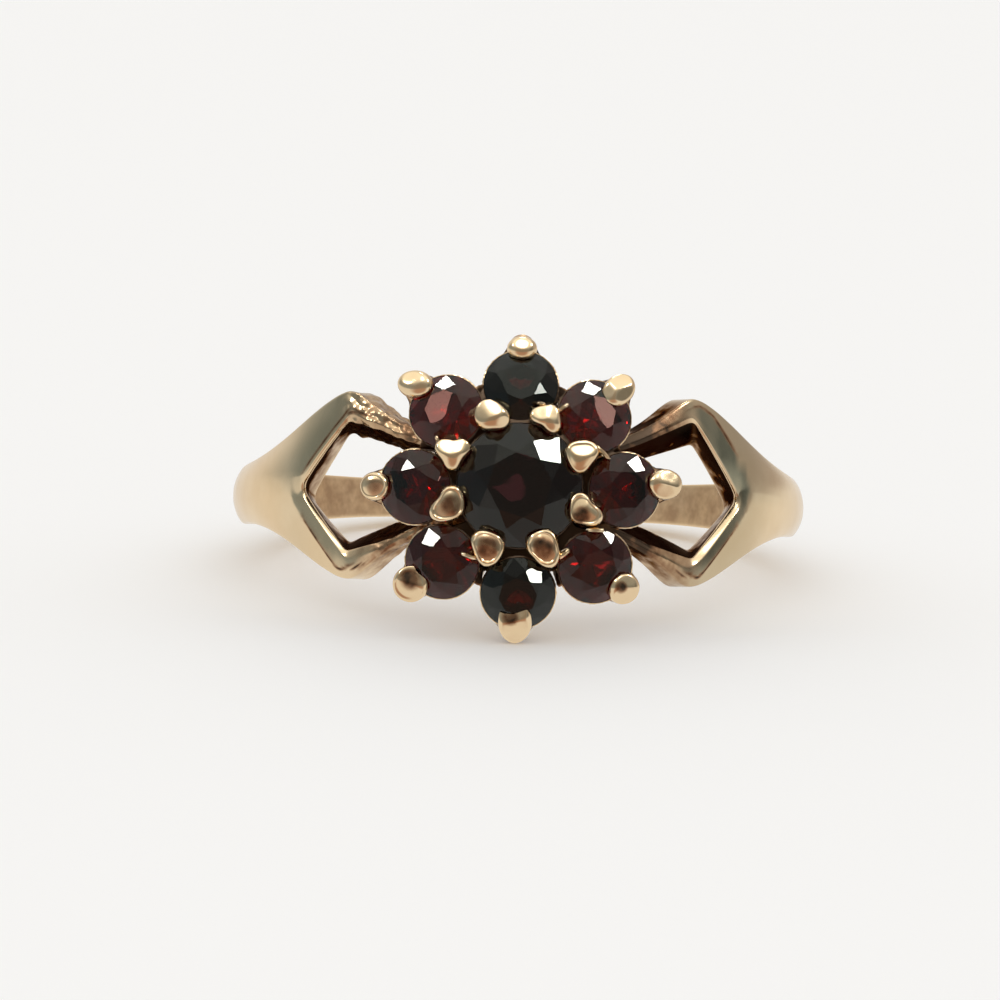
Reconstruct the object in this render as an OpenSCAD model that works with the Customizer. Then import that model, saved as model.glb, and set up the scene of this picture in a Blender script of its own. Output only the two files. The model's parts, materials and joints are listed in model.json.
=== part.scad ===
// Gold cluster ring, laid on its side as it rests by itself on a table.
// One soldered gold mounting: a domed shank whose shoulders fork round a five-sided opening,
// and a flower head of nine collets with eight inner and eight outer claws.
// Nine loose garnets sit in it: one centre stone and eight petals that lean outwards.
// Millimetres. The surface it rests on is z = 0 and the head looks towards -Y.

/* [Shank] */
// Radius of the finger hole
finger_r = 8.65; // [8.6:0.05:8.8]
// Thickness of the shank from its sides to the head
side_thick = 1.5; // [1.4:0.05:1.6]
// Thickness of the shank at its back
back_thick = 1.15; // [1.05:0.05:1.3]
// Half the width of the shank at its sides
side_half = 1; // [0.95:0.05:1.1]
// Half the width of the shank at its back
back_half = 0.68; // [0.64:0.02:0.8]
// Half the width across the corners of the shoulders
corner_half = 3.18; // [3.1:0.02:3.24]
// How far the outer face falls from its middle to its edges
dome = 0.36; // [0.28:0.02:0.4]
// How far the worn shank bows down at its sides
bow = 0.28; // [0:0.02:0.3]

/* [Head] */
// How far the head is soldered above the shank's middle line
head_up = 0.08; // [0:0.02:0.12]
// How far the head is soldered to the side of the shank's middle
head_side = -0.06; // [-0.1:0.02:0.1]
// Diameter of the centre stone
centre_d = 4.1; // [4.04:0.02:4.12]
// Height of the centre stone's girdle above the finger axis
centre_h = 10.95; // [10.9:0.05:11.1]
// Diameter of a petal stone
petal_d = 2.44; // [2.38:0.02:2.44]
// Height of a petal stone's girdle above the finger axis
petal_h = 10.55; // [10.5:0.05:10.65]
// Angle by which a petal stone leans outwards
petal_lean = 18; // [16:1:20]
// Room left all round a stone in its seat
seat_gap = 0.02; // [0.02:0.005:0.03]

/* [Claws] */
// Half the width of an inner claw's tip, on average
inner_tip = 0.57; // [0.54:0.01:0.6]
// Height of an inner claw's tip above the centre stone's girdle
inner_rise = 0.62; // [0.56:0.02:0.66]
// Height of an outer claw's tip above a petal stone's girdle
outer_rise = 0.62; // [0.56:0.02:0.66]

/* [Hidden] */
$fn = 32;
gold = "#d9b56a";
garnet = "#4a0f16";

// Columns of shoulder_rows: angle from the head, and how much of the way the half width
// has gone from the plain side of the shank to the corner of the shoulder.
ANGLE = 0;
SHARE = 1;
shoulder_rows = [
  [14, 0.2], [18, 0.28], [21, 0.365], [24, 0.47], [28, 0.64], [32, 0.85], [35, 0.985],
  [38, 0.975], [42, 0.85], [46, 0.69], [51, 0.49], [56, 0.32], [62, 0.17], [70, 0.06],
  [80, 0.015], [90, 0]
];

// Columns of opening_rows: angle from the head and height along the finger axis of each
// corner of a shoulder's opening, on the outer face and then on the wall of the finger hole.
OUT_A = 0;
OUT_Z = 1;
IN_A = 2;
IN_Z = 3;
opening_rows = [
  [46, 0.3, 54, 0.05], [35.3, 2.37, 42, 1.63], [23.5, 1.56, 27.8, 1.04], [10, 0.7, 12, 0.5],
  [10, -0.7, 12, -0.42], [25, -1.84, 29, -1.22], [35.5, -2.31, 41.5, -1.9], [46, -0.3, 54, -0.6]
];

// Columns of petal_rows: direction of the petal seen from the front, distance of its stone
// from the head's axis, direction and distance of its outer claw's tip, and half the
// length and half the width of that tip.
P_ANGLE = 0;
P_REACH = 1;
C_ANGLE = 2;
C_REACH = 3;
C_LONG = 4;
C_WIDE = 5;
petal_rows = [
  [90.6, 3.3, 90.3, 4.62, 0.48, 0.43],
  [44, 3.36, 45.3, 4.56, 0.62, 0.44],
  [-1, 3.46, 2, 4.82, 0.6, 0.5],
  [-45.5, 3.64, -43.2, 4.85, 0.52, 0.54],
  [-89.5, 3.53, -90.5, 4.58, 0.66, 0.54],
  [-134, 3.58, -136.5, 4.86, 0.58, 0.58],
  [-178, 3.44, -178.5, 4.78, 0.5, 0.48],
  [136, 3.44, 137, 4.8, 0.54, 0.46]
];

// Columns of notch_rows: direction of an inner claw's post and its distance from the head's axis,
// the same of its tip, the tip's share of the average size, then how far and in what direction,
// from straight outwards, the tip swells into an oval and into three corners.
N_ANGLE = 0;
N_REACH = 1;
T_ANGLE = 2;
T_REACH = 3;
T_SHARE = 4;
OVAL = 5;
OVAL_TURN = 6;
TRI = 7;
TRI_TURN = 8;
notch_rows = [
  [68, 2.33, 69, 2.37, 0.87, 0.13, 80, 0.13, -12],
  [23.5, 2.33, 27, 2.24, 0.97, 0.05, 15, 0.1, 0],
  [-20, 2.34, -20.5, 2.28, 0.95, 0.14, -20, 0.12, 0],
  [-65, 2.36, -67.5, 2.2, 1.05, 0.13, 8, 0.06, 6],
  [-113, 2.33, -116, 2.29, 1.03, 0.08, 56, 0.07, 18],
  [-161, 2.38, -163, 2.42, 1.02, 0.16, 37, 0.1, 9],
  [157.5, 2.33, 155.5, 2.44, 0.94, 0.05, 35, 0.18, -4],
  [112.5, 2.36, 113.5, 2.45, 0.98, 0.09, 48, 0.05, -7]
];

// Columns of inner_profile: how far the row has moved from the post to the tip, height, radius
// as a share of the tip's size, and how much of the tip's own outline shows in this row.
MOVED = 0;
RISE = 1;
SIZE = 2;
SHAPED = 3;
inner_profile = [
  [0, -1.95, 0.48, 0], [0, -0.6, 0.46, 0], [0.1, -0.12, 0.6, 0.3],
  [0.8, 0.12, 0.98, 1], [1, 0.68 * inner_rise, 1, 1], [1, 0.9 * inner_rise, 0.82, 1],
  [1, inner_rise, 0.5, 0.8]
];

// Stone proportions, as shares of the stone's radius
table_share = 0.52;
crown_share = 0.29;
pavilion_share = 0.84;
girdle_share = 0.05;
lower_share = 0.24;

// Collets: metal left round a stone, its draft, and radius and depth of the two kinds of foot
rim = 0.08;
rim_draft = 0.03;
petal_foot = 0.62;
petal_deep = 1.45;
centre_foot = 1.2;
centre_deep = 1.62;

// Open light holes below the stones: radii, and their ends as shares of the stone's radius
petal_light = 0.42;
centre_light = 0.95;
light_low = 1.72;
light_high = 0.4;

// Outer claws: wire, half the width where a claw passes the girdle and at its bend above it,
// half the thickness of the shoulder, and how far the tip is pulled in over its stone
claw_wire = 0.27;
claw_shoulder = 0.8;
claw_bend = 0.62;
claw_thick = 0.42;
claw_pull = 0.12;

// Webs between the collets: distances from the head's axis and half widths
web_foot_in = 2.5;
web_foot_out = 2.9;
web_foot_half = 0.12;
web_out = 3.58;
web_half = 0.2;
web_sink = 0.2;

// Ring below the collets, soldered between the arms of the fork
ring_in = 1.95;
ring_out = 3.02;
ring_draft = 0.25;
ring_low = 7.75;
ring_top = 9.36;

// Shape of the shank: where the fork's arms start and end, how its face is domed and bowed
fork_start = 14;
fork_end = 62;
fork_step = 3;
plain_steps = 32;
dome_power = 2.3;
bow_power = 4;
bow_share = 0.35;
section_step = 0.25;

// How far cutters run past the metal
bore_over = 0.4;
cut_over = 1.2;
bore_reach = 10;

bore_sides = 180;
centre_sides = 32;
collet_sides = 18;
claw_sides = 16;
hole_sides = 12;
side_angle = 90;
full_turn = 360;

// The lean is looked for between these two angles, by halving the range this many times
lean_low = 5;
lean_high = 20;
lean_steps = 24;

centre_r = centre_d / 2;
petal_r = petal_d / 2;
outer_r = finger_r + side_thick;
back_r = finger_r + back_thick;

// A smooth value of one column at x, by cubic steps between the rows
function slope(rows, c, i) =
  let (a = max(i - 1, 0), b = min(i + 1, len(rows) - 1))
  (rows[b][c] - rows[a][c]) / (rows[b][0] - rows[a][0]);
function row_at(rows, x, i = 0) =
  i >= len(rows) - 2 || x <= rows[i + 1][0] ? i : row_at(rows, x, i + 1);
function smooth(rows, c, x) =
  let (
    i = row_at(rows, x),
    w = rows[i + 1][0] - rows[i][0],
    t = min(max((x - rows[i][0]) / w, 0), 1),
    p = rows[i][c],
    q = rows[i + 1][c]
  )
  p + (3 * t * t - 2 * t * t * t) * (q - p)
    + w * (t * t * t - 2 * t * t + t) * slope(rows, c, i)
    + w * (t * t * t - t * t) * slope(rows, c, i + 1);

// Half width, outer radius and places of the shank at an angle from the head
function half_at(a) =
  a < side_angle
    ? side_half + (corner_half - side_half) * smooth(shoulder_rows, SHARE, a)
    : back_half + (side_half - back_half) * pow(sin(a), 4);
function outer_at(a) =
  a < side_angle ? outer_r : back_r + (outer_r - back_r) * pow(sin(a), 2);
function place(a, r, z) = [r * sin(a), -r * cos(a), z];

// Rows of points joined into one closed solid, each row the same length
module loft(rows) {
  n = len(rows[0]);
  m = len(rows);
  sides = [
    for (i = [0 : m - 2], j = [0 : n - 1])
      each [
        [i * n + j, (i + 1) * n + j, i * n + (j + 1) % n],
        [i * n + (j + 1) % n, (i + 1) * n + j, (i + 1) * n + (j + 1) % n]
      ]
  ];
  low_cap = [for (j = [1 : n - 2]) [0, j, j + 1]];
  high_cap = [for (j = [1 : n - 2]) [(m - 1) * n, (m - 1) * n + j + 1, (m - 1) * n + j]];
  polyhedron(points = [for (r = rows) each r], faces = concat(sides, low_cap, high_cap));
}

// Section of the shank at an angle: a domed outer face and a flat inner one
function shank_section(turn) =
  let (
    a = turn > 180 ? full_turn - turn : turn,
    w = half_at(a),
    r = outer_at(a),
    z = bow * (bow_share - pow(sin(a), bow_power))
  )
  concat(
    [for (s = [1 : -section_step : -1]) place(turn, r - dome * pow(abs(s), dome_power), z + w * s)],
    [place(turn, finger_r - bore_over, z - w), place(turn, finger_r - bore_over, z + w)]
  );

// Cutter for the opening of one shoulder, its walls set by the opening table
module opening(side) {
  deep_r = finger_r - cut_over;
  high_r = outer_r + cut_over;
  function wall(r) = [
    for (q = opening_rows)
      let (t = (r - finger_r) / side_thick)
      place(side * (q[IN_A] + t * (q[OUT_A] - q[IN_A])), r, q[IN_Z] + t * (q[OUT_Z] - q[IN_Z]))
  ];
  function reversed(v) = [for (i = [len(v) - 1 : -1 : 0]) v[i]];
  low = wall(deep_r);
  high = wall(high_r);
  loft(side > 0 ? [low, high] : [reversed(low), reversed(high)]);
}

module shank() {
  plain_step = (full_turn - 2 * fork_end) / plain_steps;
  turns = concat(
    [for (a = [fork_start : fork_step : fork_end]) a],
    [for (k = [1 : plain_steps - 1]) fork_end + k * plain_step],
    [for (a = [full_turn - fork_end : fork_step : full_turn - fork_start]) a]
  );
  difference() {
    loft([for (t = turns) shank_section(t)]);
    opening(1);
    opening(-1);
  }
}

// Points of a round brilliant: table, star tips, girdle top and bottom, pavilion tips, culet
function ring_points(n, r, z, turn = 0) =
  [for (k = [0 : n - 1]) [r * cos(turn + k * full_turn / n), r * sin(turn + k * full_turn / n), z]];

module brilliant(r, grow = 0) {
  half_step = 22.5;
  band = girdle_share * r + grow;
  rg = r + grow;
  rt = table_share * r + grow;
  slant = crown_share / (1 - table_share);
  deep = pavilion_share * rg;
  rs = (rt * cos(half_step) + rg) / 2;
  rl = lower_share * rg;
  points = concat(
    ring_points(8, rt, band + slant * (rg - rt)),
    ring_points(8, rs, band + slant * (rg - rs * cos(half_step)), half_step),
    ring_points(16, rg, band),
    ring_points(16, rg, -band),
    ring_points(8, rl, -band - deep * (1 - rl * cos(half_step) / rg), half_step),
    [[0, 0, -band - deep]]
  );
  star = 8;
  top = 16;
  bottom = 32;
  lower = 48;
  culet = 56;
  faces = concat(
    [[7, 6, 5, 4, 3, 2, 1, 0]],
    [for (k = [0 : 7]) [k, (k + 1) % 8, star + k]],
    [for (k = [0 : 7]) [k, star + k, top + 2 * k, star + (k + 7) % 8]],
    [for (k = [0 : 7]) [star + k, top + 2 * k + 1, top + 2 * k]],
    [for (k = [0 : 7]) [star + k, top + (2 * k + 2) % 16, top + 2 * k + 1]],
    [for (j = [0 : 15]) [top + j, top + (j + 1) % 16, bottom + (j + 1) % 16, bottom + j]],
    [for (k = [0 : 7]) [lower + k, bottom + 2 * k, bottom + 2 * k + 1]],
    [for (k = [0 : 7]) [lower + k, bottom + 2 * k + 1, bottom + (2 * k + 2) % 16]],
    [for (k = [0 : 7]) [culet, lower + (k + 7) % 8, bottom + 2 * k, lower + k]]
  );
  polyhedron(points = points, faces = faces);
}

// Puts its children on the head's axis, seen from the front: x right, y up, z outwards
module on_head() {
  translate([head_side, 0, head_up]) rotate([90, 0, 0]) children();
}

// Puts its children in the leaning frame of a petal
module at_petal(q) {
  translate([q[P_REACH] * cos(q[P_ANGLE]), q[P_REACH] * sin(q[P_ANGLE]), petal_h])
    rotate([0, 0, q[P_ANGLE]]) rotate([0, petal_lean, 0]) children();
}

module at_centre() {
  translate([0, 0, centre_h]) children();
}

// Lays the whole ring down
module laid() {
  translate([0, shift_y, lift]) rotate([-lay_tilt, 0, 0]) children();
}

// One row of a claw: an ellipse turned about its middle
function claw_row(x, y, z, long, wide, turn) = [
  for (k = [0 : claw_sides - 1])
    let (
      a = k * full_turn / claw_sides,
      u = long * cos(a),
      v = wide * sin(a)
    )
    [x + u * cos(turn) - v * sin(turn), y + u * sin(turn) + v * cos(turn), z]
];

// One row of an inner claw: a circle that swells into the tip's oval and its three corners
// It starts half a step round, so that the inner edge of the web meets a flat of the post.
function tip_row(q, p) =
  let (
    angle = q[N_ANGLE] + p[MOVED] * (q[T_ANGLE] - q[N_ANGLE]),
    reach = q[N_REACH] + p[MOVED] * (q[T_REACH] - q[N_REACH])
  )
  [
    for (k = [0 : claw_sides - 1])
      let (
        a = (k + 0.5) * full_turn / claw_sides,
        oval = q[OVAL] * cos(2 * (a - q[OVAL_TURN])),
        tri = q[TRI] * cos(3 * (a - q[TRI_TURN])),
        r = p[SIZE] * q[T_SHARE] * inner_tip * (1 + p[SHAPED] * (oval + tri))
      )
      [
        reach * cos(angle) + r * cos(a + angle),
        reach * sin(angle) + r * sin(a + angle),
        centre_h + p[RISE]
      ]
  ];

module inner_claw(q) {
  loft([for (p = inner_profile) tip_row(q, p)]);
}

// Outer claw in its petal's frame: a wire up the outside of the collet, bent over the stone.
// Columns of its rows: distance outwards, step to the side, height, half length, half width.
function outer_claw_rows(q) =
  let (
    tip_turn = q[C_ANGLE] - q[P_ANGLE],
    tip_x = (q[C_REACH] * cos(tip_turn) - q[P_REACH]) / cos(petal_lean) - claw_pull,
    tip_y = q[C_REACH] * sin(tip_turn),
    long = q[C_LONG],
    wide = q[C_WIDE],
    rows = [
      [0.42, 0, -1.35, claw_wire, claw_wire],
      [0.92, 0.4 * tip_y, -0.62, claw_wire, claw_wire],
      [1.08, 0.7 * tip_y, -0.2, claw_thick, claw_shoulder],
      [1.14, 0.85 * tip_y, 0, claw_thick, claw_shoulder],
      [tip_x + 0.06, tip_y, 0.14, long, max(wide, claw_bend)],
      [tip_x, tip_y, 0.6 * outer_rise, long, wide],
      [tip_x - 0.02, tip_y, 0.84 * outer_rise, 0.76 * long, 0.76 * wide],
      [tip_x - 0.04, tip_y, outer_rise, 0.36 * long, 0.36 * wide]
    ]
  )
  [for (p = rows) claw_row(p[0], p[1], p[2], p[3], p[4], tip_turn)];

module outer_claw(q) {
  loft(outer_claw_rows(q));
}

// The ring rests on its lowest outer claw and on the lower edge of the shank's back,
// so it leans by the angle that brings both down to the same level.
function petal_to_ring(q, p) =
  let (
    x = p[0] * cos(petal_lean) + p[2] * sin(petal_lean) + q[P_REACH],
    h = p[2] * cos(petal_lean) - p[0] * sin(petal_lean) + petal_h
  )
  [
    x * cos(q[P_ANGLE]) - p[1] * sin(q[P_ANGLE]) + head_side,
    -h,
    x * sin(q[P_ANGLE]) + p[1] * cos(q[P_ANGLE]) + head_up
  ];
low_petal = petal_rows[4];
claw_points = [for (row = outer_claw_rows(low_petal), p = row) petal_to_ring(low_petal, p)];
back_points = shank_section(180);
function lowest(points, t) = min([for (p = points) p[2] * cos(t) - p[1] * sin(t)]);
function lean_between(a, b, n) =
  let (m = (a + b) / 2)
  n == 0 ? m
    : lowest(claw_points, m) < lowest(back_points, m) ? lean_between(m, b, n - 1)
    : lean_between(a, m, n - 1);
lay_tilt = lean_between(lean_low, lean_high, lean_steps);
lift = -lowest(back_points, lay_tilt);
front_y = (centre_h + inner_rise) * cos(lay_tilt) + notch_rows[4][N_REACH] * sin(lay_tilt);
shift_y = (front_y - back_r * cos(lay_tilt)) / 2;

// Small web of metal that joins two neighbouring collets behind a notch of the flower
module web(q) {
  low_h = ring_top - web_sink;
  high_h = petal_h - web_sink;
  function corner(run, side, h) = [
    run * cos(q[N_ANGLE]) - side * sin(q[N_ANGLE]), run * sin(q[N_ANGLE]) + side * cos(q[N_ANGLE]), h
  ];
  function triangle(in_run, out_run, half, h) = [
    corner(in_run, 0, h), corner(out_run, -half, h), corner(out_run, half, h)
  ];
  loft([
    triangle(web_foot_in, web_foot_out, web_foot_half, low_h),
    triangle(web_foot_out, web_out, web_half, high_h)
  ]);
}

// Open cup under a stone of radius r
module collet(r, foot_r, deep, sides) {
  loft([
    ring_points(sides, foot_r, -deep),
    ring_points(sides, r + rim, 0),
    ring_points(sides, r + rim - rim_draft, girdle_share * r)
  ]);
}

module base_ring() {
  rotate_extrude()
    polygon([
      [ring_in, ring_low], [ring_out - ring_draft, ring_low], [ring_out, ring_top], [ring_in, ring_top]
    ]);
}

module head_metal() {
  on_head() {
    base_ring();
    at_centre() collet(centre_r, centre_foot, centre_deep, centre_sides);
    for (q = petal_rows) {
      at_petal(q) {
        collet(petal_r, petal_foot, petal_deep, collet_sides);
        outer_claw(q);
      }
    }
    for (q = notch_rows) {
      inner_claw(q);
      web(q);
    }
  }
}

// What is cut for a stone of radius r: its seat, and the open light hole below it
module seat(r, light_r) {
  brilliant(r, seat_gap);
  translate([0, 0, -light_low * r])
    cylinder(r = light_r, h = (light_low - light_high) * r, $fn = hole_sides);
}

module head_cuts() {
  on_head() {
    at_centre() seat(centre_r, centre_light);
    for (q = petal_rows) at_petal(q) seat(petal_r, petal_light);
  }
}

module gold_mounting() {
  color(gold)
    laid()
      difference() {
        union() {
          shank();
          head_metal();
        }
        head_cuts();
        translate([0, 0, -bore_reach]) cylinder(r = finger_r, h = 2 * bore_reach, $fn = bore_sides);
      }
}

module centre_stone() {
  color(garnet) laid() on_head() at_centre() brilliant(centre_r);
}

module petal_stone(k) {
  color(garnet) laid() on_head() at_petal(petal_rows[k - 1]) brilliant(petal_r);
}

gold_mounting();
centre_stone();
petal_stone(1);  // petal_stone_1
petal_stone(2);  // petal_stone_2
petal_stone(3);  // petal_stone_3
petal_stone(4);  // petal_stone_4
petal_stone(5);  // petal_stone_5
petal_stone(6);  // petal_stone_6
petal_stone(7);  // petal_stone_7
petal_stone(8);  // petal_stone_8
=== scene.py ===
"""Looks of a gold cluster ring that lies on its side.

A pierced gold strip bent round the finger carries a flower head: one round garnet and eight petals,
each in its collet, held by eight inner and eight outer claws. Shapes are worked out in millimetres
and put into the frame, in metres, when a piece is finished.
"""

import json
import math

import bmesh
import bpy
from mathutils import Matrix, Vector


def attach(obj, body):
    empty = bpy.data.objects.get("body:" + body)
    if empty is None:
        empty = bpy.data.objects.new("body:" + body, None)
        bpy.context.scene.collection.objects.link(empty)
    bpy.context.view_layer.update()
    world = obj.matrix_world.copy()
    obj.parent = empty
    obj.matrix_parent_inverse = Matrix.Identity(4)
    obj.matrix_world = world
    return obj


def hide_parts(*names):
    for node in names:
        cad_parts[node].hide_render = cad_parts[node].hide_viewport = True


MM = 0.001

# The finger hole, as the record gives it: its radius, and how far the ring leans back as it rests
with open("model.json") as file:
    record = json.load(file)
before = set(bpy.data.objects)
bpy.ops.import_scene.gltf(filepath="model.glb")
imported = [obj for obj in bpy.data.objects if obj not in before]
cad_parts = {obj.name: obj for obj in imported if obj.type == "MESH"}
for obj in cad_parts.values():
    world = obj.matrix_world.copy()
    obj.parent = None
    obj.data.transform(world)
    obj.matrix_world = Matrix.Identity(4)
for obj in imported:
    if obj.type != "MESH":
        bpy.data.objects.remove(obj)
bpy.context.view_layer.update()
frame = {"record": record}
finger_hole = next(m for m in frame["record"]["mounts"] if m["name"] == "finger_hole")
FINGER_R = finger_hole["dims"]["r_mm"]
LEAN = math.atan2(finger_hole["axis"][1], finger_hole["axis"][2])

# Shank, in millimetres: thickness and half width at its sides and its back, half width at the corners
# of its shoulders, drop of the face to its edges and the power of that curve, and how far the sides
# bow below the head and the back, with the share of it by which those two rise
SIDE_THICK = 1.5
BACK_THICK = 1.15
SIDE_HALF = 1.0
BACK_HALF = 0.68
CORNER_HALF = 3.18
DOME = 0.36
DOME_POWER = 2.3
BOW = 0.28
BOW_SHARE = 0.35

# How the shank swells from its plain side to the shoulder's corner: angle from the head,
# and share of the way
SHOULDER = [
    (10, 0.12), (14, 0.2), (18, 0.28), (21, 0.365), (24, 0.47), (28, 0.64), (32, 0.85), (35, 0.985),
    (38, 0.975), (42, 0.85), (46, 0.69), (51, 0.49), (56, 0.32), (62, 0.17), (70, 0.06), (80, 0.015),
    (90, 0.0),
]

# Edge of a shoulder's opening from the head to its point: angle and height on the outer face,
# then angle and height on the wall of the finger hole
OPENING = {
    "upper": [
        (10, 0.7, 12, 0.5), (23.5, 1.56, 27.8, 1.04), (35.3, 2.37, 42, 1.63), (46, 0.12, 54, -0.15),
    ],
    "lower": [
        (10, -0.7, 12, -0.42), (25, -1.84, 29, -1.22), (35.5, -2.31, 41.5, -1.9), (46, -0.12, 54, -0.45),
    ],
}

# Rows between the corners of an opening's edge, and the angle of its point
OPENING_ROWS = (5, 6, 10)
POINT_ANGLE = 46

# Rows of the whole strip behind the point, the angle where the slant of the point's wall ends, and how
# far that wall is off the middle at the finger hole
SOLID_ROWS = [46.8, 47.6, 48.4, 49.2, 50, 51, 52.5, 55, 58.5, 62.5, 67, *range(72, 180, 6), 180]
SKEW_END = 75
INNER_SKEW = -0.3

# How one side's opening differs from the table above, by hand: change of height of the edge on the
# outer face and on the wall of the finger hole, for each of its four corners
HAND_SHIFT = {
    ("left", "upper"): [(0.0, 0.0), (-0.04, 0.18), (-0.18, 0.16), (0.0, 0.0)],
    ("right", "upper"): [(0.0, 0.0), (0.0, 0.0), (0.1, 0.06), (0.0, 0.0)],
}

# Filing along an opening's edge on the outer face: width and depth of the facet, width and depth of
# the bevel on the very edge, the angle from the head where the facet starts, and its grey tarnish,
# partly painted shade that stands in for a dark reflection
FACET = {
    ("left", "upper"): (0.3, 0.03, 0.2, 0.12, 30, 0.2),
    ("left", "lower"): (0.72, 0.17, 0.2, 0.13, 31, 0.22),
    ("right", "upper"): (0.9, 0.2, 0.1, 0.08, 34.5, 1.0),
    ("right", "lower"): (0.7, 0.17, 0.32, 0.18, 32, 0.85),
}

# Degrees in which a facet grows to its full depth, the most of a narrow strip that it takes, the most
# of a facet that its bevel takes, and the darkening of the line at its far edge
FACET_GROWS = 2.5
FACET_SHARE = 0.8
BEVEL_SHARE = 0.45
FACET_LINE = 1.3

# Spacing that keeps a line crisp, the rounding of the outer edges, the depth shares at which they are
# built, and the plain face kept beside them
CRISP = 0.05
EDGE_ROUND = 0.14
EDGE_DEPTHS = (0.96, 0.86, 0.5, 0.12, 0.0)
EDGE_KEPT = 0.3

# Nuggety casting on the arms: strength, angle from the head where it ends and where it is full
CAST = {
    ("left", "upper"): (1.0, 39, 34),
    ("left", "lower"): (1.0, 31, 26),
    ("right", "upper"): (0.3, 21, 15),
    ("right", "lower"): (0.3, 21, 15),
}

# Darkening of the arms of the forks, and grey tarnish on the plain face past the facets, partly
# painted shade for a dark reflection: angle from the head and strength
ARM_DARKENING = {
    ("left", "upper"): [(10, 0.8), (20, 0.58), (32, 0.36), (36, 0.12), (39, 0.0)],
    ("left", "lower"): [(10, 0.9), (20, 0.6), (30, 0.4), (34, 0.12), (38, 0.0)],
    ("right", "upper"): [(10, 1.15), (28, 1.08), (32, 0.6), (34.5, 0.1), (37, 0.0)],
    ("right", "lower"): [(10, 1.4), (22, 1.3), (27, 0.7), (34, 0.35), (39, 0.0)],
}
FACE_TARNISH_AND_SHADE = {
    ("left", "upper"): [(33, 0.15), (38, 0.55), (46, 0.62), (52, 0.3), (60, 0.08), (66, 0.0)],
    ("left", "lower"): [(33, 0.0), (44, 0.1), (50, 0.15), (58, 0.0)],
    ("right", "upper"): [(34, 0.2), (41, 0.5), (52, 0.5), (63, 0.12), (72, 0.0)],
    ("right", "lower"): [(28, 0.0), (34, 0.4), (44, 0.4), (52, 0.3), (60, 0.0)],
}

# Painted shade on the wall of the finger hole: strength, and the angles from the head between which
# it grows
INNER_SHADE = 0.3
INNER_SHADE_GROWS = (70, 100)

# Painted shade on an opening's wall, from the finger hole out to the edge: depth share and strength,
# on the arms and beside the point
ARM_WALL_SHADE = [(0.08, 1.2), (0.5, 2.2), (0.9, 3.6)]
POINT_WALL_SHADE = {
    ("left", "upper"): [(0.08, 0.3), (0.5, 0.5), (0.9, 2.2)],
    ("left", "lower"): [(0.08, 0.4), (0.5, 0.7), (0.9, 2.4)],
    ("right", "upper"): [(0.08, 0.75), (0.5, 1.6), (0.9, 3.2)],
    ("right", "lower"): [(0.08, 0.4), (0.5, 0.7), (0.9, 2.2)],
}

# Head: places are worked out on its own axis, x to the right, y up and z outwards. It is a little off
# the ring's middle. Diameter and height of the centre stone and of a petal, the petals' lean in
# degrees, and the room of a stone in its seat
HEAD_SIDE = -0.06
HEAD_UP = 0.08
CENTRE_D = 4.1
CENTRE_H = 10.95
PETAL_D = 2.44
PETAL_H = 10.55
PETAL_LEAN = 18
SEAT_GAP = 0.02

# Cups of the setting: rim past the stone, then foot and depth of the centre cup and of a petal's cup,
# and radius, low end and high end of the holes for light below the stones
RIM = 0.08
CENTRE_CUP = (1.2, 1.62)
PETAL_CUP = (0.62, 1.45)
CENTRE_LIGHT = (0.95, -3.5, -0.8)
PETAL_LIGHT = (0.42, -2.1, -0.48)

# Ring that the cups stand on: its top, and its section as distance from the head's axis and height
RING_TOP = 9.36
RING_SECTION = [
    (1.95, 7.75), (2.77, 7.75), (3.02, RING_TOP - 0.06), (2.96, RING_TOP), (2.0, RING_TOP),
    (1.95, RING_TOP - 0.06),
]

# Webs between the cups: height, distances from the notch and half the width, at the foot and the top
WEB_FOOT = (9.16, 0.17, 0.57, 0.12)
WEB_TOP = (PETAL_H - 0.2, 0.57, 1.25, 0.2)

# Handwork on the setting: grain in which cups, webs and ring are melted together, depth of the dents
# on them and on the claws, and the angle in degrees from which an edge stays sharp
MELT_GRAIN = 0.055
CUP_DENTS = 0.04
CLAW_DENTS = 0.03
SHARP_EDGE = 32

# Claws: height and size of the tips, then the outer claws' wire, their shoulder, their bend over the
# stone, their thickness and how far they are pulled in
INNER_RISE = 0.62
OUTER_RISE = 0.62
INNER_TIP = 0.57
CLAW_WIRE = 0.27
CLAW_SHOULDER = 0.72
CLAW_BEND = 0.62
CLAW_THICK = 0.42
CLAW_PULL = 0.12

# Petals: direction and distance of the stone, direction and distance of its outer claw,
# half the length and half the width of that claw's tip
PETALS = [
    (90.6, 3.3, 90.3, 4.62, 0.48, 0.43),
    (44, 3.36, 45.3, 4.56, 0.62, 0.44),
    (-1, 3.46, 2, 4.82, 0.6, 0.5),
    (-45.5, 3.64, -43.2, 4.85, 0.52, 0.54),
    (-89.5, 3.53, -90.5, 4.58, 0.66, 0.54),
    (-134, 3.58, -136.5, 4.86, 0.58, 0.58),
    (-178, 3.44, -178.5, 4.78, 0.5, 0.48),
    (136, 3.44, 137, 4.8, 0.54, 0.46),
]

# Depth of red of each petal, in the same order: copies of one garnet, darker for painted shade on
# some petals and redder for painted light on others
PETAL_LIGHT_AND_SHADE = ("darkest", "red", "dark", "dark", "darkest", "dark", "dark", "red")

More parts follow.
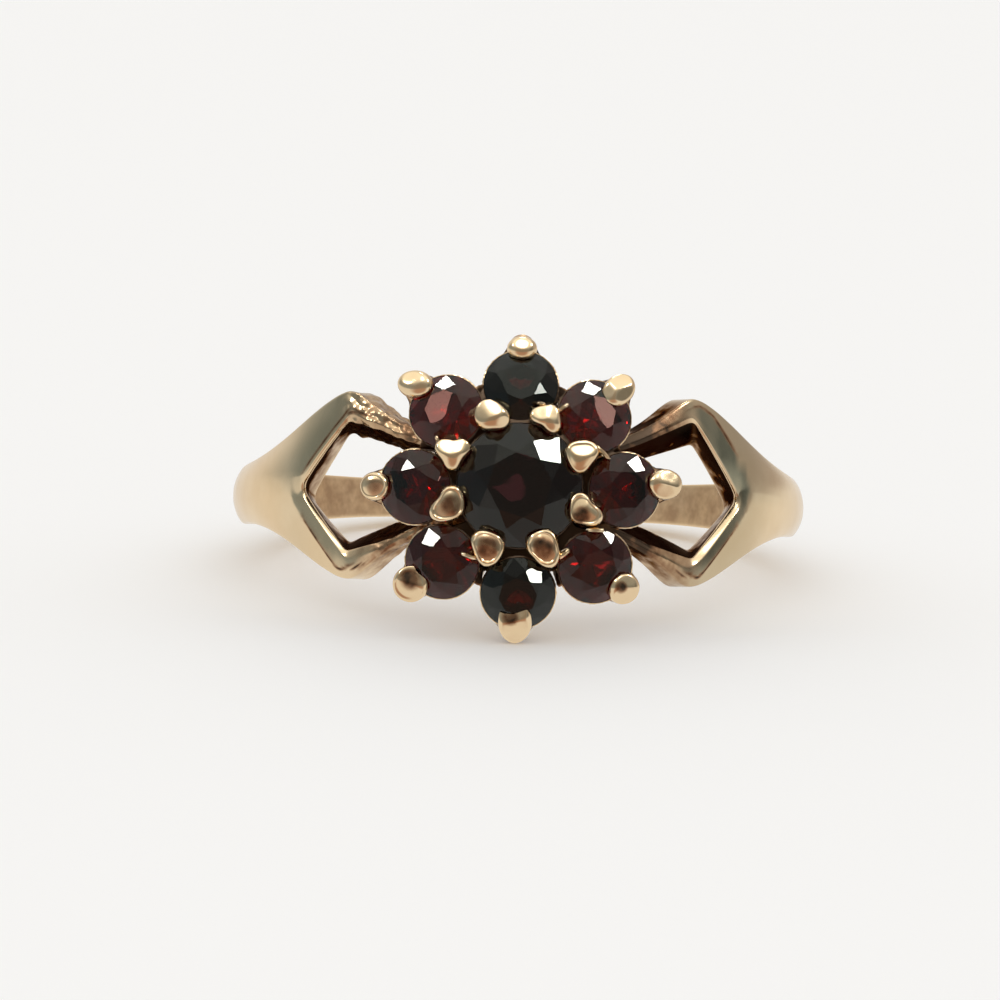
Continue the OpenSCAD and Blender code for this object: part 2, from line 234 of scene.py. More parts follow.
# Inner claws: direction and distance of the post and then of the tip, the tip's share of the average
# size, how far and in what direction it swells into an oval and into three corners, and how deep
# its middle is dished
NOTCHES = [
    (68, 2.33, 69, 2.37, 0.87, 0.13, 80, 0.13, -12, 0.0),
    (23.5, 2.33, 27, 2.24, 0.97, 0.05, 15, 0.1, 0, 0.02),
    (-20, 2.34, -20.5, 2.28, 0.95, 0.14, -20, 0.12, 0, 0.05),
    (-65, 2.36, -67.5, 2.2, 1.05, 0.13, 8, 0.06, 6, 0.09),
    (-113, 2.33, -116, 2.29, 1.03, 0.08, 56, 0.07, 18, 0.09),
    (-161, 2.38, -163, 2.42, 1.02, 0.16, 37, 0.1, 9, 0.06),
    (157.5, 2.33, 155.5, 2.44, 0.94, 0.05, 35, 0.18, -4, 0.0),
    (112.5, 2.36, 113.5, 2.45, 0.98, 0.09, 48, 0.05, -7, 0.0),
]

# Rows of an inner claw below its tip: how far it has moved from the post to the tip, height,
# radius as a share of the tip's, and how much of the tip's outline shows
INNER_POST = [(0, -1.95, 0.48, 0), (0, -0.6, 0.46, 0), (0.1, -0.12, 0.6, 0.3), (0.8, 0.1, 0.96, 1)]

# Flats filed and pushed on the tips, in the order of the claws: direction that a flat looks towards
# on the head, its slope, and its height at the tip's middle
INNER_FLATS = [
    [(110, 0.45, 0.61), (60, 0.42, 0.63), (-60, 0.3, 0.7)],
    [(85, 0.4, 0.6), (190, 0.5, 0.74), (-60, 0.35, 0.7)],
    [(130, 0.4, 0.62), (-60, 0.2, 0.6), (30, 0.6, 0.72)],
    [(-80, 0.2, 0.6), (60, 0.5, 0.7)],
    [(-100, 0.22, 0.6), (20, 0.5, 0.72)],
    [(-150, 0.25, 0.6), (10, 0.5, 0.68)],
    [(100, 0.42, 0.59), (20, 0.5, 0.74), (240, 0.5, 0.74)],
    [(100, 0.4, 0.6), (150, 0.42, 0.63), (-30, 0.5, 0.72)],
]

# Beads at the ends of the outer claws: half length, half width, direction of the length on the head,
# how far its middle is moved outwards, dish, and flats
OUTER_BEADS = [
    (0.5, 0.41, 0, -0.06, 0.0, [(80, 0.12, 0.6)]),
    (0.64, 0.49, 45, 0.0, 0.0, [(95, 0.42, 0.6), (-45, 0.3, 0.6), (180, 0.6, 0.72)]),
    (0.6, 0.5, 2, 0.0, 0.0, [(70, 0.35, 0.6), (-95, 0.35, 0.6)]),
    (0.52, 0.54, -43, 0.0, 0.0, [(80, 0.4, 0.62), (-80, 0.45, 0.56)]),
    (0.76, 0.56, -90, -0.1, 0.0, [(110, 0.55, 0.6), (-85, 0.3, 0.54)]),
    (0.62, 0.6, -136, 0.0, 0.03, [(75, 0.5, 0.6), (-100, 0.35, 0.54)]),
    (0.52, 0.48, 180, 0.0, 0.05, [(-60, 0.2, 0.58), (90, 0.5, 0.7)]),
    (0.61, 0.47, 172, 0.02, 0.0, [(110, 0.3, 0.62), (-70, 0.5, 0.74)]),
]

# Slivers of metal raised beside the claws when they were pushed over: both ends on the head, and half
# the width
SLIVERS = [
    (2.42, 1.42, 2.96, 0.88, 0.1), (1.12, 2.4, 1.58, 2.72, 0.1), (0.46, 2.72, 0.82, 2.66, 0.09),
    (1.28, -2.4, 1.72, -2.04, 0.13), (2.2, -1.42, 2.86, -1.42, 0.11), (-2.6, 1.22, -2.8, 1.58, 0.09),
    (-1.34, -2.46, -1.92, -2.26, 0.1),
]
SLIVER_SIDES = 16

# Rows of a sliver: height from the girdle of the centre stone, and share of its length and width
SLIVER_ROWS = [(-0.4, 0.9), (0.22, 1.0), (0.34, 0.8), (0.4, 0.4)]

# Dirt and painted shade on the setting: painted shade between the stones, light dirt elsewhere on the
# cups, painted shade low on the claws and its share on the outer ones, which stand farther from the
# head's axis than the distance given last
SHADE_BETWEEN = 4.0
DIRT_ELSEWHERE = 0.1
SHADE_LOW_ON_CLAWS = 1.6
OUTER_CLAW_SHADE = 0.6
OUTSIDE = 3.3

# Painted brownish reflections in the dents of the claws' tips: place on the head, radius and strength
DISH_REFLECTIONS = [
    (-2.22, -0.75, 0.42, 0.75), (-1.0, -2.06, 0.46, 0.8), (0.84, -2.03, 0.46, 1.0),
    (2.04, -0.94, 0.34, 1.2), (-3.5, -3.17, 0.42, 1.0), (-0.2, -4.34, 0.32, 1.1),
    (3.42, -3.26, 0.24, 0.9), (-4.78, -0.12, 0.34, 0.4),
]

# Top of a claw's tip: the shares of its outline on which it is built, points of an outline, height and
# roundness of the dome's edge, its least height there, the shares between which a dish goes down, and
# how softly flats meet
TIP_SHARES = (0.995, 0.98, 0.95, 0.91, 0.86, 0.81, 0.76, 0.7, 0.63, 0.55, 0.46, 0.36, 0.26, 0.16, 0.06)
TIP_SIDES = 48
TIP_WALL = 0.3
TIP_ROUND = 2.6
TIP_LEAST = 0.1
DISH_RIM = (0.84, 0.71)
FLAT_BLEND = 0.018

# Cut of the stones, as shares of a stone's radius
TABLE = 0.52
CROWN = 0.29
PAVILION = 0.84
GIRDLE = 0.05
LOWER_TIP = 0.24

# Sides of the round shapes: girdles, seats, cups and the ring below them, holes below the centre stone
# and the petals, finger hole
GIRDLE_SIDES = 96
SEAT_SIDES = 48
CUP_SIDES = 36
RING_SIDES = 72
CENTRE_LIGHT_SIDES = 32
PETAL_LIGHT_SIDES = 20
FINGER_SIDES = 256

# Colours of the gold: its two tones, grey tarnish and thin and thick dirt, all partly painted shade,
# and dirt with painted shade seen at a slant
GOLD_TONES = ((0.83, 0.625, 0.38), (0.92, 0.735, 0.49))
TARNISH_AND_SHADE = (0.31, 0.30, 0.215)
THIN_DIRT_AND_SHADE = (0.44, 0.235, 0.125)
THICK_DIRT_AND_SHADE = (0.08, 0.055, 0.038)
SLANTED_DIRT_AND_SHADE = (0.22, 0.15, 0.1)

# Light: what the metal and the stones see at each height (sine of the angle above the horizon), then
# soft patches over it as (direction, degrees of full strength, degrees to none, colour). Below the
# floor's edge they see a floor with a patch of its own. All else gets the even light named last.
ROOM_HEIGHTS = [
    (-1.0, (0.28, 0.32, 0.33)), (0.1, (0.29, 0.33, 0.34)), (0.42, (0.27, 0.29, 0.29)),
    (0.62, (0.42, 0.42, 0.40)), (0.78, (1.0, 0.98, 0.90)), (0.92, (1.25, 1.24, 1.14)),
    (1.0, (1.1, 1.1, 1.05)),
]
ROOM_PATCHES = [
    ((0.0, 1.0, 0.2), 38, 84, (0.80, 0.78, 0.76)),
    ((0.85, 0.42, 0.25), 22, 50, (0.50, 0.45, 0.42)),
    ((0.8, -0.55, 0.1), 10, 28, (0.19, 0.19, 0.18)),
    ((0.0, -1.0, 0.14), 18, 40, (0.27, 0.24, 0.21)),
]
FLOOR_SEEN = (0.82, 0.80, 0.77)
FLOOR_EDGE = (-0.05, 0.04)
FLOOR_PATCHES = [
    ((0.0, -1.0, -0.25), 16, 42, (0.44, 0.28, 0.215)),
]
EVEN_LIGHT = (1.0, 0.995, 0.985)

# Lamps: what each one lights, then direction from the ring, distance, size, brightness and colour.
# The narrow ones that light the stones are each aimed at one facet or one table.
DAYLIGHT = (1.0, 0.985, 0.95)
LAMPS = [
    ("right_window", "gold", (0.61, -0.28, 0.74), 0.35, 0.07, 16.0, DAYLIGHT),
    ("left_window", "gold", (-0.6, -0.35, 0.72), 0.35, 0.06, 14.0, DAYLIGHT),
    ("top_lamp", "gold", (0.05, 0.35, 0.95), 0.4, 0.08, 10.0, DAYLIGHT),
    ("ceiling_lamp", "gold", (0.0, -0.46, 0.89), 0.35, 0.14, 2.6, (1.0, 1.0, 0.97)),
    ("right_glint", "stones", (0.58, -0.27, 0.76), 0.35, 0.06, 66.0, DAYLIGHT),
    ("left_glint", "stones", (-0.6, -0.35, 0.72), 0.35, 0.05, 58.0, DAYLIGHT),
    ("right_petal_glint", "stones", (0.67, 0.06, 0.74), 0.35, 0.026, 44.0, DAYLIGHT),
    ("bottom_petal_glint", "stones", (0.61, -0.68, 0.41), 0.35, 0.026, 40.0, DAYLIGHT),
    ("low_left_petal_glint", "stones", (-0.67, -0.41, 0.62), 0.35, 0.026, 34.0, DAYLIGHT),
    ("high_left_petal_glint", "stones", (-0.27, 0.29, 0.92), 0.35, 0.026, 34.0, DAYLIGHT),
    ("high_right_petal_glint", "stones", (0.13, 0.22, 0.97), 0.35, 0.026, 34.0, DAYLIGHT),
    ("top_petal_glint", "stones", (0.61, -0.61, 0.5), 0.35, 0.018, 18.0, DAYLIGHT),
    ("centre_glint", "stones", (-0.61, -0.07, 0.79), 0.35, 0.02, 30.0, DAYLIGHT),
    ("left_petal_glow", "stones", (-0.4431, -0.6424, 0.6252), 0.35, 0.024, 7.0, (1.0, 0.42, 0.36)),
    ("right_petal_glow", "stones", (0.4543, -0.6346, 0.6252), 0.35, 0.024, 8.0, (1.0, 0.5, 0.43)),
    ("centre_glow", "stones", (0.0042, -0.9637, 0.2671), 0.361, 0.0046, 0.62, (1.0, 0.2, 0.27)),
]

# Camera: direction, height and tilt of the view in degrees, distance from the ring and height of its
# middle in millimetres, then in pixels of the photograph the focal length and how far right of the
# ring's middle and above it the picture's middle lies, the photograph's side, and the sensor's width
VIEW_TURN = -0.5
VIEW_RISE = 10.6
VIEW_TILT = 1.49
VIEW_DISTANCE = 140
VIEW_HEIGHT = 4.9
VIEW_FOCUS = 3973
VIEW_OFF = (-20.0, -57.8)
PHOTO_SIDE = 1000
SENSOR = 36

PLACE = Matrix.Translation(Vector(finger_hole["pos_m"]))
RING = PLACE @ Matrix.Rotation(-LEAN, 4, "X") @ Matrix.Scale(MM, 4)
HEAD = RING @ Matrix.Translation((HEAD_SIDE, 0, HEAD_UP)) @ Matrix.Rotation(math.radians(90), 4, "X")


def polar(angle, reach, height=0.0):
    """Point at an angle in degrees and a distance from the z axis."""
    t = math.radians(angle)
    return Vector((reach * math.cos(t), reach * math.sin(t), height))


def ramp(low, high, x):
    """Share of the way from low to high, held at 0 and 1 outside."""
    return max(0.0, min(1.0, (x - low) / (high - low)))


def eased(rows, x):
    """Smooth value of the second column of a short table at x."""
    if x <= rows[0][0]:
        return rows[0][1]
    if x >= rows[-1][0]:
        return rows[-1][1]
    i = max(k for k in range(len(rows) - 1) if rows[k][0] <= x)

    def slope(k):
        a, b = rows[max(k - 1, 0)], rows[min(k + 1, len(rows) - 1)]
        return (b[1] - a[1]) / (b[0] - a[0])

    w = rows[i + 1][0] - rows[i][0]
    t = (x - rows[i][0]) / w
    p, q = rows[i][1], rows[i + 1][1]
    return (
        p + (3 * t * t - 2 * t**3) * (q - p)
        + w * (t**3 - 2 * t * t + t) * slope(i)
        + w * (t**3 - t * t) * slope(i + 1)
    )


def placed(mesh, name):
    """New object in the scene from a mesh."""
    obj = bpy.data.objects.new(name, mesh)
    bpy.context.scene.collection.objects.link(obj)
    return obj


def poured(bm, name):
    """New object from a bmesh as it is."""
    mesh = bpy.data.meshes.new(name)
    bm.to_mesh(mesh)
    bm.free()
    return placed(mesh, name)


def piece_from(bm, name):
    """New object from a bmesh, with its faces turned outwards."""
    bmesh.ops.recalc_face_normals(bm, faces=bm.faces)
    return poured(bm, name)


def add_loft(bm, rows):
    """Closed solid through rows of points, each row the same length."""
    rings = [[bm.verts.new(p) for p in row] for row in rows]
    n = len(rings[0])
    for low, high in zip(rings, rings[1:]):
        for j in range(n):
            bm.faces.new((low[j], low[(j + 1) % n], high[(j + 1) % n], high[j]))
    bm.faces.new(reversed(rings[0]))
    bm.faces.new(rings[-1])


def evaluated(obj, name):
    """Plain mesh object made from an object and its modifiers, which are then gone."""
    graph = bpy.context.evaluated_depsgraph_get()
    mesh = bpy.data.meshes.new_from_object(
        obj.evaluated_get(graph), preserve_all_data_layers=True, depsgraph=graph,
    )
    mesh.name = name
    bpy.data.objects.remove(obj)
    return placed(mesh, name)


def joined(objects, name):
    """One object from several, each left where it is."""
    bm = bmesh.new()
    for obj in objects:
        bm.from_mesh(obj.data)
        bpy.data.objects.remove(obj)
    return poured(bm, name)


class Nodes:
    """Short-hand for filling one node tree."""

    def __init__(self, tree):
        self.tree = tree

    def add(self, kind, inputs=None, **settings):
        """New node with its settings, and with each input linked or set."""
        node = self.tree.nodes.new(kind)
        for key, value in settings.items():
            setattr(node, key, value)
        for key, value in (inputs or {}).items():
            if isinstance(value, bpy.types.NodeSocket):
                self.join(value, node.inputs[key])
            else:
                node.inputs[key].default_value = value
        return node

    def join(self, source, target):
        self.tree.links.new(source, target)

    def calc(self, operation, *values, clamped=False):
        inputs = dict(enumerate(values))
        return self.add("ShaderNodeMath", inputs, operation=operation, use_clamp=clamped).outputs[0]

    def noise(self, place, scale, detail, roughness):
        inputs = {"Vector": place, "Scale": scale, "Detail": detail, "Roughness": roughness}
        return self.add("ShaderNodeTexNoise", inputs).outputs["Fac"]

    def spread(self, value, low, high, to_low=0.0, to_high=1.0, **settings):
        """Value carried over from one range to another."""
        inputs = {"Value": value, "From Min": low, "From Max": high, "To Min": to_low, "To Max": to_high}
        return self.add("ShaderNodeMapRange", inputs, **settings).outputs["Result"]

    def blend(self, share, below, above):
        """Colour between two others, each of them a colour or a socket."""
        inputs = {"Factor": share}
        for key, colour in (("A", below), ("B", above)):
            inputs[key] = colour if isinstance(colour, bpy.types.NodeSocket) else (*colour, 1)
        return self.add("ShaderNodeMix", inputs, data_type="RGBA").outputs["Result"]


class Recipe(Nodes):
    """One Geometry Nodes tree with named inputs, built node by node."""

    KINDS = {
        float: "NodeSocketFloat", int: "NodeSocketInt", bpy.types.Material: "NodeSocketMaterial",
        bpy.types.Object: "NodeSocketObject",
    }

    def __init__(self, name, sizes):
        super().__init__(bpy.data.node_groups.new(name, "GeometryNodeTree"))
        interface = self.tree.interface
        interface.new_socket("Geometry", in_out="INPUT", socket_type="NodeSocketGeometry")
        self.sockets = {}
        for label, value in sizes.items():
            socket = interface.new_socket(label, in_out="INPUT", socket_type=self.KINDS[type(value)])
            socket.default_value = value
            self.sockets[label] = socket.identifier
        interface.new_socket("Geometry", in_out="OUTPUT", socket_type="NodeSocketGeometry")
        self.start = self.tree.nodes.new("NodeGroupInput").outputs
        self.sizes = sizes

    def attribute(self, name, kind="FLOAT"):
        node = self.add("GeometryNodeInputNamedAttribute", {"Name": name}, data_type=kind)
        return node.outputs["Attribute"]

    def pushed(self, geometry, distance):
        """Geometry moved along its normals."""
        normal = self.add("GeometryNodeInputNormal").outputs[0]
        push = self.add("ShaderNodeVectorMath", {0: normal, "Scale": distance}, operation="SCALE")
        moved = self.add("GeometryNodeSetPosition", {"Geometry": geometry, "Offset": push.outputs[0]})
        return moved.outputs[0]

    def finish(self, geometry):
        """Ends the tree: instances realized, then the metal set."""
        real = self.add("GeometryNodeRealizeInstances", {"Geometry": geometry}).outputs[0]
        metal = self.add("GeometryNodeSetMaterial", {"Geometry": real, "Material": self.start["Metal"]})
        self.add("NodeGroupOutput", {0: metal.outputs[0]})

    def apply(self, obj, name):
        """Runs the tree on an object with the recipe's sizes, and gives back a plain mesh."""
        modifier = obj.modifiers.new(self.tree.name, "NODES")
        modifier.node_group = self.tree
        for label, value in self.sizes.items():
            modifier[self.sockets[label]] = value
        return evaluated(obj, name)


# Materials

def shader(name, plain):
    """New material, its nodes and the inputs of its Principled shader, some of them set."""
    material = bpy.data.materials.new(name)
    material.use_nodes = True
    nodes = Nodes(material.node_tree)
    surface = nodes.tree.nodes["Principled BSDF"].inputs
    for key, value in plain.items():
        surface[key].default_value = value
    return material, nodes, surface


def worn_gold():
    """Nine carat gold, polished once and worn: tone changes, tarnish, dirt and painted shade, scratches and
    cast grain.
    """
    material, nodes, surface = shader("worn_gold", {"Metallic": 1.0})
    place = nodes.add("ShaderNodeTexCoord").outputs["Object"]

    def marked(name):
        return nodes.add("ShaderNodeAttribute", attribute_name=name).outputs["Fac"]

    tones = nodes.add("ShaderNodeValToRGB", {"Fac": nodes.noise(place, 420.0, 3.0, 0.55)})
    for element, position, colour in zip(tones.color_ramp.elements, (0.3, 0.72), GOLD_TONES):
        element.position = position
        element.color = (*colour, 1)
    # Grey tarnish, partly painted shade that stands in for a dark reflection
    tarnish_and_shade_share = nodes.calc("MULTIPLY", marked("tarnish"), 1.0, clamped=True)
    tarnished_and_shaded = nodes.blend(tarnish_and_shade_share, tones.outputs["Color"], TARNISH_AND_SHADE)
    patchy = nodes.spread(nodes.noise(place, 1700.0, 2.5, 0.6), 0.3, 0.65, 0.42, 1.25)
    # Dirt, with painted shade on walls, in recesses and between the stones, and painted reflections in the
    # claws' dents
    dirt_and_shade = nodes.calc("MULTIPLY", marked("grime"), patchy, clamped=True)
    browned = nodes.blend(nodes.calc("MULTIPLY", dirt_and_shade, 1.5, clamped=True), tarnished_and_shaded, THIN_DIRT_AND_SHADE)
    soiled_and_shaded = nodes.blend(nodes.calc("POWER", dirt_and_shade, 1.6), browned, THICK_DIRT_AND_SHADE)
    nodes.join(soiled_and_shaded, surface["Base Color"])
    nodes.join(nodes.blend(dirt_and_shade, (1, 1, 1), SLANTED_DIRT_AND_SHADE), surface["Specular Tint"])

    wear = nodes.spread(nodes.noise(place, 1500.0, 5.0, 0.6), 0.3, 0.75, 0.1, 0.24)
    dull = nodes.calc("MULTIPLY_ADD", dirt_and_shade, 0.16, wear)
    nodes.join(nodes.calc("MULTIPLY_ADD", marked("satin"), 0.32, dull), surface["Roughness"])

    turned = nodes.add("ShaderNodeMapping", {
        "Vector": place, "Rotation": (0.4, 0.9, 0.3), "Scale": (1.0, 9.0, 1.0),
    })
    scratches = nodes.noise(turned.outputs["Vector"], 900.0, 6.0, 0.7)
    fine = nodes.add("ShaderNodeBump", {"Height": scratches, "Strength": 0.12, "Distance": 0.00002})
    grains = nodes.add("ShaderNodeTexVoronoi", {
        "Vector": place, "Scale": 3600.0, "Smoothness": 0.5,
    }, feature="SMOOTH_F1")
    grain_height = nodes.calc("MULTIPLY", grains.outputs["Distance"], marked("cast"))
    grainy = nodes.add("ShaderNodeBump", {
        "Height": grain_height, "Strength": 0.6, "Distance": 0.00008, "Normal": fine.outputs["Normal"],
    }, invert=True)
    nodes.join(grainy.outputs["Normal"], surface["Normal"])
    return material


def garnet(name, density):
    """Dark red garnet: clear, deeply coloured, a little wavy, with a faint haze of wear on its polish."""
    material, nodes, surface = shader(name, {
        "Base Color": (0.9, 0.55, 0.55, 1), "Transmission Weight": 1.0, "IOR": 1.76,
        "Specular Tint": (0.47, 0.5, 0.47, 1),
    })
    place = nodes.add("ShaderNodeTexCoord").outputs["Object"]
    haze = nodes.spread(nodes.noise(place, 2600.0, 4.0, 0.6), 0.45, 0.8, 0.0, 0.05)
    nodes.join(haze, surface["Roughness"])
    waves = nodes.noise(place, 450.0, 1.0, 0.5)
    wavy = nodes.add("ShaderNodeBump", {"Height": waves, "Strength": 1.0, "Distance": 0.00002})
    nodes.join(wavy.outputs["Normal"], surface["Normal"])
    depth = nodes.add("ShaderNodeVolumeAbsorption", {"Color": (0.72, 0.03, 0.09, 1), "Density": density})
    nodes.join(depth.outputs["Volume"], nodes.tree.nodes["Material Output"].inputs["Volume"])
    return material


GOLD = worn_gold()
# Copies of one garnet, darker for painted shade and redder for painted light
GARNETS = {
    "darkest": garnet("darkest_garnet", 8500.0),
    "dark": garnet("dark_garnet", 3300.0),
    "red": garnet("red_garnet", 2700.0),
}


# Shank

def half_width(angle):
    """Half the width of the shank at an angle from the head."""
    if angle < 90:
        return SIDE_HALF + (CORNER_HALF - SIDE_HALF) * eased(SHOULDER, angle)
    return BACK_HALF + (SIDE_HALF - BACK_HALF) * math.sin(math.radians(angle)) ** 4


def opening_corners(side, half):
    """Corners of one edge of an opening, with what differs on this side by hand."""
    shifts = HAND_SHIFT.get((side, half), [(0.0, 0.0)] * 4)
    return [(a, z + dz, b, y + dy) for (a, z, b, y), (dz, dy) in zip(OPENING[half], shifts)]


def opening_rows(side, half):
    """Stations along one edge of an opening, from the head to its point."""
    rows = []
    table = opening_corners(side, half)
    for (a, b, count) in zip(table, table[1:], OPENING_ROWS):
        rows += [tuple(p + (q - p) * k / count for p, q in zip(a, b)) for k in range(count)]
    return rows + [table[-1]]


def away_from_opening(side, angle, z):
    """Distance along the outer face from a place to the edge of the opening."""
    outer_r = FINGER_R + SIDE_THICK
    edge = [row[:2] for row in opening_corners(side, "upper")]
    edge += [row[:2] for row in reversed(opening_corners(side, "lower"))]
    corners = [Vector((outer_r * math.radians(a), h)) for a, h in edge]
    here = Vector((outer_r * math.radians(angle), z))
    best = math.inf
    for a, b in zip(corners, corners[1:]):
        share = ramp(0.0, 1.0, (here - a).dot(b - a) / (b - a).length_squared)
        best = min(best, (here - a - share * (b - a)).length)
    return best


def edge_slant(angle):
    """Height taken by one millimetre measured squarely off an opening's edge."""
    return 1.08 + 0.48 * ramp(33, 36, angle)


def facet_room(side, half, angle):
    """Width of a facet, less where the strip beside the opening is narrow."""
    wide = FACET[(side, half)][0]
    if angle >= POINT_ANGLE:
        return wide
    corners = opening_corners(side, half)
    i = max(k for k in range(3) if corners[k][0] <= max(angle, corners[0][0]))
    (a, z), (b, y) = corners[i][:2], corners[i + 1][:2]
    height = abs(z + (y - z) * (angle - a) / (b - a))
    return min(wide, FACET_SHARE * (half_width(angle) - height) / edge_slant(angle))


def filed(side, angle, z):
    """How far the outer face is filed down at a place near an opening, and the tarnish, painted shade and
    darkening on it.
    """
    away = away_from_opening(side, angle, z)
    upper = ramp(-0.3, 0.3, z)
    depth = tarnish = dirt_and_shade = 0.0
    for half, weight in (("upper", upper), ("lower", 1 - upper)):
        wide, deep, bevel, bevel_deep, start, film = FACET[(side, half)]
        room = facet_room(side, half, angle)
        edge = min(bevel, BEVEL_SHARE * room)
        grown = weight * ramp(start, start + FACET_GROWS, angle)
        depth += grown * deep * room / wide * max(0.0, 1 - away / room)
        depth += weight * bevel_deep * max(0.0, 1 - away / edge)
        on_facet = ramp(edge, edge + CRISP, away) * ramp(room, room - CRISP, away)
        past = ramp(edge, edge + CRISP, away) * (1 - on_facet)
        # Grey tarnish on the facets and the face past them, partly painted shade for a dark reflection
        tarnish += grown * film * on_facet + weight * past * eased(FACE_TARNISH_AND_SHADE[(side, half)], angle)
        # Darkening along the facet's far edge and on the arms toward the head
        line = FACET_LINE * ramp(POINT_ANGLE + 1.5, POINT_ANGLE - 0.5, angle)
        dirt_and_shade += line * grown * max(0.0, 1 - abs(away - room) / CRISP)
        dirt_and_shade += weight * eased(ARM_DARKENING[(side, half)], angle)
    return depth, tarnish, dirt_and_shade


def cast_at(side, half, angle):
    """How rough the casting is: the left arms are nuggety, the right ones only near the head."""
    strength, end, full = CAST[(side, half)]
    return strength * ramp(end, full, angle)


def section(side, half, row):
    """One half section of the pierced strip, round from the opening's edge and back to it.

    Gives (angle, height, depth share, share across, cast, dirt and painted shade, satin, tarnish and
    painted shade) for each point.
    """
    out_angle, out_z, in_angle, in_z = row
    sign = 1 if half == "upper" else -1
    edge = half_width(out_angle) * sign
    width = abs(edge - out_z)
    room = facet_room(side, half, out_angle)
    bevel = min(FACET[(side, half)][2], BEVEL_SHARE * room)
    steps = [
        0.0, 0.5 * bevel, bevel, bevel + CRISP, 0.5 * (bevel + room), room - CRISP, room, room + CRISP,
    ]
    slant = min(edge_slant(out_angle), (width - EDGE_KEPT) / (room + CRISP))
    across_face = [slant * d for d in steps]
    rest = width - EDGE_ROUND - across_face[-1]
    across_face += [across_face[-1] + rest * k / 4 for k in (1, 2, 3, 4)] + [width - CRISP]
    points = []

    def add(across, depth, tarnish, dirt_and_shade):
        share = across / width
        open_z = out_z * depth + in_z * (1 - depth)
        angle = out_angle + (in_angle - out_angle) * (1 - depth) * (1 - share)
        z = open_z + (edge - open_z) * share
        satin = 1.0 if depth == 0.0 else 0.0
        cast = cast_at(side, half, out_angle)
        points.append((angle, z, depth, z / abs(edge), cast, dirt_and_shade, satin, tarnish))

    for across in across_face:
        lost, tarnish, dirt_and_shade = filed(side, out_angle, out_z + sign * across)
        add(across, 1 - lost / SIDE_THICK, tarnish, dirt_and_shade)
    opening_edge = points[0][2]
    for depth in EDGE_DEPTHS:
        add(width, depth, tarnish, dirt_and_shade)
    # Painted shade on the wall of the finger hole towards the back
    inner_shade = INNER_SHADE * ramp(*INNER_SHADE_GROWS, out_angle)
    for across in (width - EDGE_ROUND, width * 0.5, 0.1, 0.0):
        add(across, 0.0, 0.0, inner_shade)
    # Painted shade on the opening's walls, darker towards the outer face
    open_here = out_angle <= POINT_ANGLE
    beside_point = ramp(34, 38, out_angle)
    point_wall_shade = POINT_WALL_SHADE[(side, half)]
    wall = (0.08, 0.5, opening_edge - 0.05)
    for depth in wall:
        dirt_and_shade = (1 - beside_point) * eased(ARM_WALL_SHADE, depth) + beside_point * eased(point_wall_shade, depth)
        add(0.0, depth, 0.0, dirt_and_shade if open_here else 0.0)
    return points, len(wall)


def strip_rows(side):
    """Rows of one side of the strip from the head to the back: two half sections, and is it open there."""
    upper, lower = opening_rows(side, "upper"), opening_rows(side, "lower")
    rows = []
    for above, below in zip(upper, lower):
        rows.append((section(side, "upper", above), section(side, "lower", below), True))
    skew = OPENING["upper"][-1][2] - POINT_ANGLE
    for angle in SOLID_ROWS:
        share = ramp(SKEW_END, POINT_ANGLE, angle)
        row = (angle, 0.0, angle + skew * share, INNER_SKEW * share)
        rows.append((section(side, "upper", row), section(side, "lower", row), False))
    return rows


def pierced_strip():
    """Flat strip with an opening in each shoulder, before it is bent.

    x is the turn round the finger, y the height and z the depth share from the finger hole to the face.
    """
    bm = bmesh.new()
    layers = [bm.verts.layers.float.new(name) for name in ("across", "cast", "grime", "satin", "tarnish")]
    right = strip_rows("right")
    left = strip_rows("left")[:-1]
    stations = [(row, 1) for row in right] + [(row, -1) for row in reversed(left)]

    def ring(points, turn_sign):
        verts = []
        for angle, z, depth, *marks in points:
            turn = math.radians(angle if turn_sign > 0 else 360 - angle)
            vert = bm.verts.new((turn, z, depth))
            for layer, mark in zip(layers, marks):
                vert[layer] = mark
            verts.append(vert)
        return verts

    built = []
    for (upper, lower, is_open), turn_sign in stations:
        built.append((ring(upper[0], turn_sign), ring(lower[0], turn_sign), is_open))
    wall_count = right[0][0][1]
    n = len(built[0][0])
    solid_count = n - wall_count
    for (up_a, low_a, open_a), (up_b, low_b, open_b) in zip(built, built[1:]):
        both_open = open_a and open_b
        count = n if both_open else solid_count - 1
        for j in range(count):
            k = (j + 1) % n
            bm.faces.new((up_a[j], up_b[j], up_b[k], up_a[k]))
            bm.faces.new((low_a[j], low_a[k], low_b[k], low_b[j]))
        if open_a != open_b:
            point_up, point_low = (up_a, low_a) if open_a else (up_b, low_b)
            seam = up_b if open_a else up_a
            bm.faces.new((point_up[0], point_low[0], seam[0]))
            last = solid_count - 1
            bm.faces.new((point_up[last], point_low[last], seam[last]))
            loop = [0] + list(range(n - 1, last - 1, -1))
            for j, k in zip(loop, loop[1:]):
                bm.faces.new((point_up[j], point_up[k], point_low[k], point_low[j]))
    for up, low, is_open in (built[0], built[-1]):
        bm.faces.new(up)
        bm.faces.new(low)
    bmesh.ops.remove_doubles(bm, verts=bm.verts, dist=1e-5)
    return piece_from(bm, "pierced_strip")


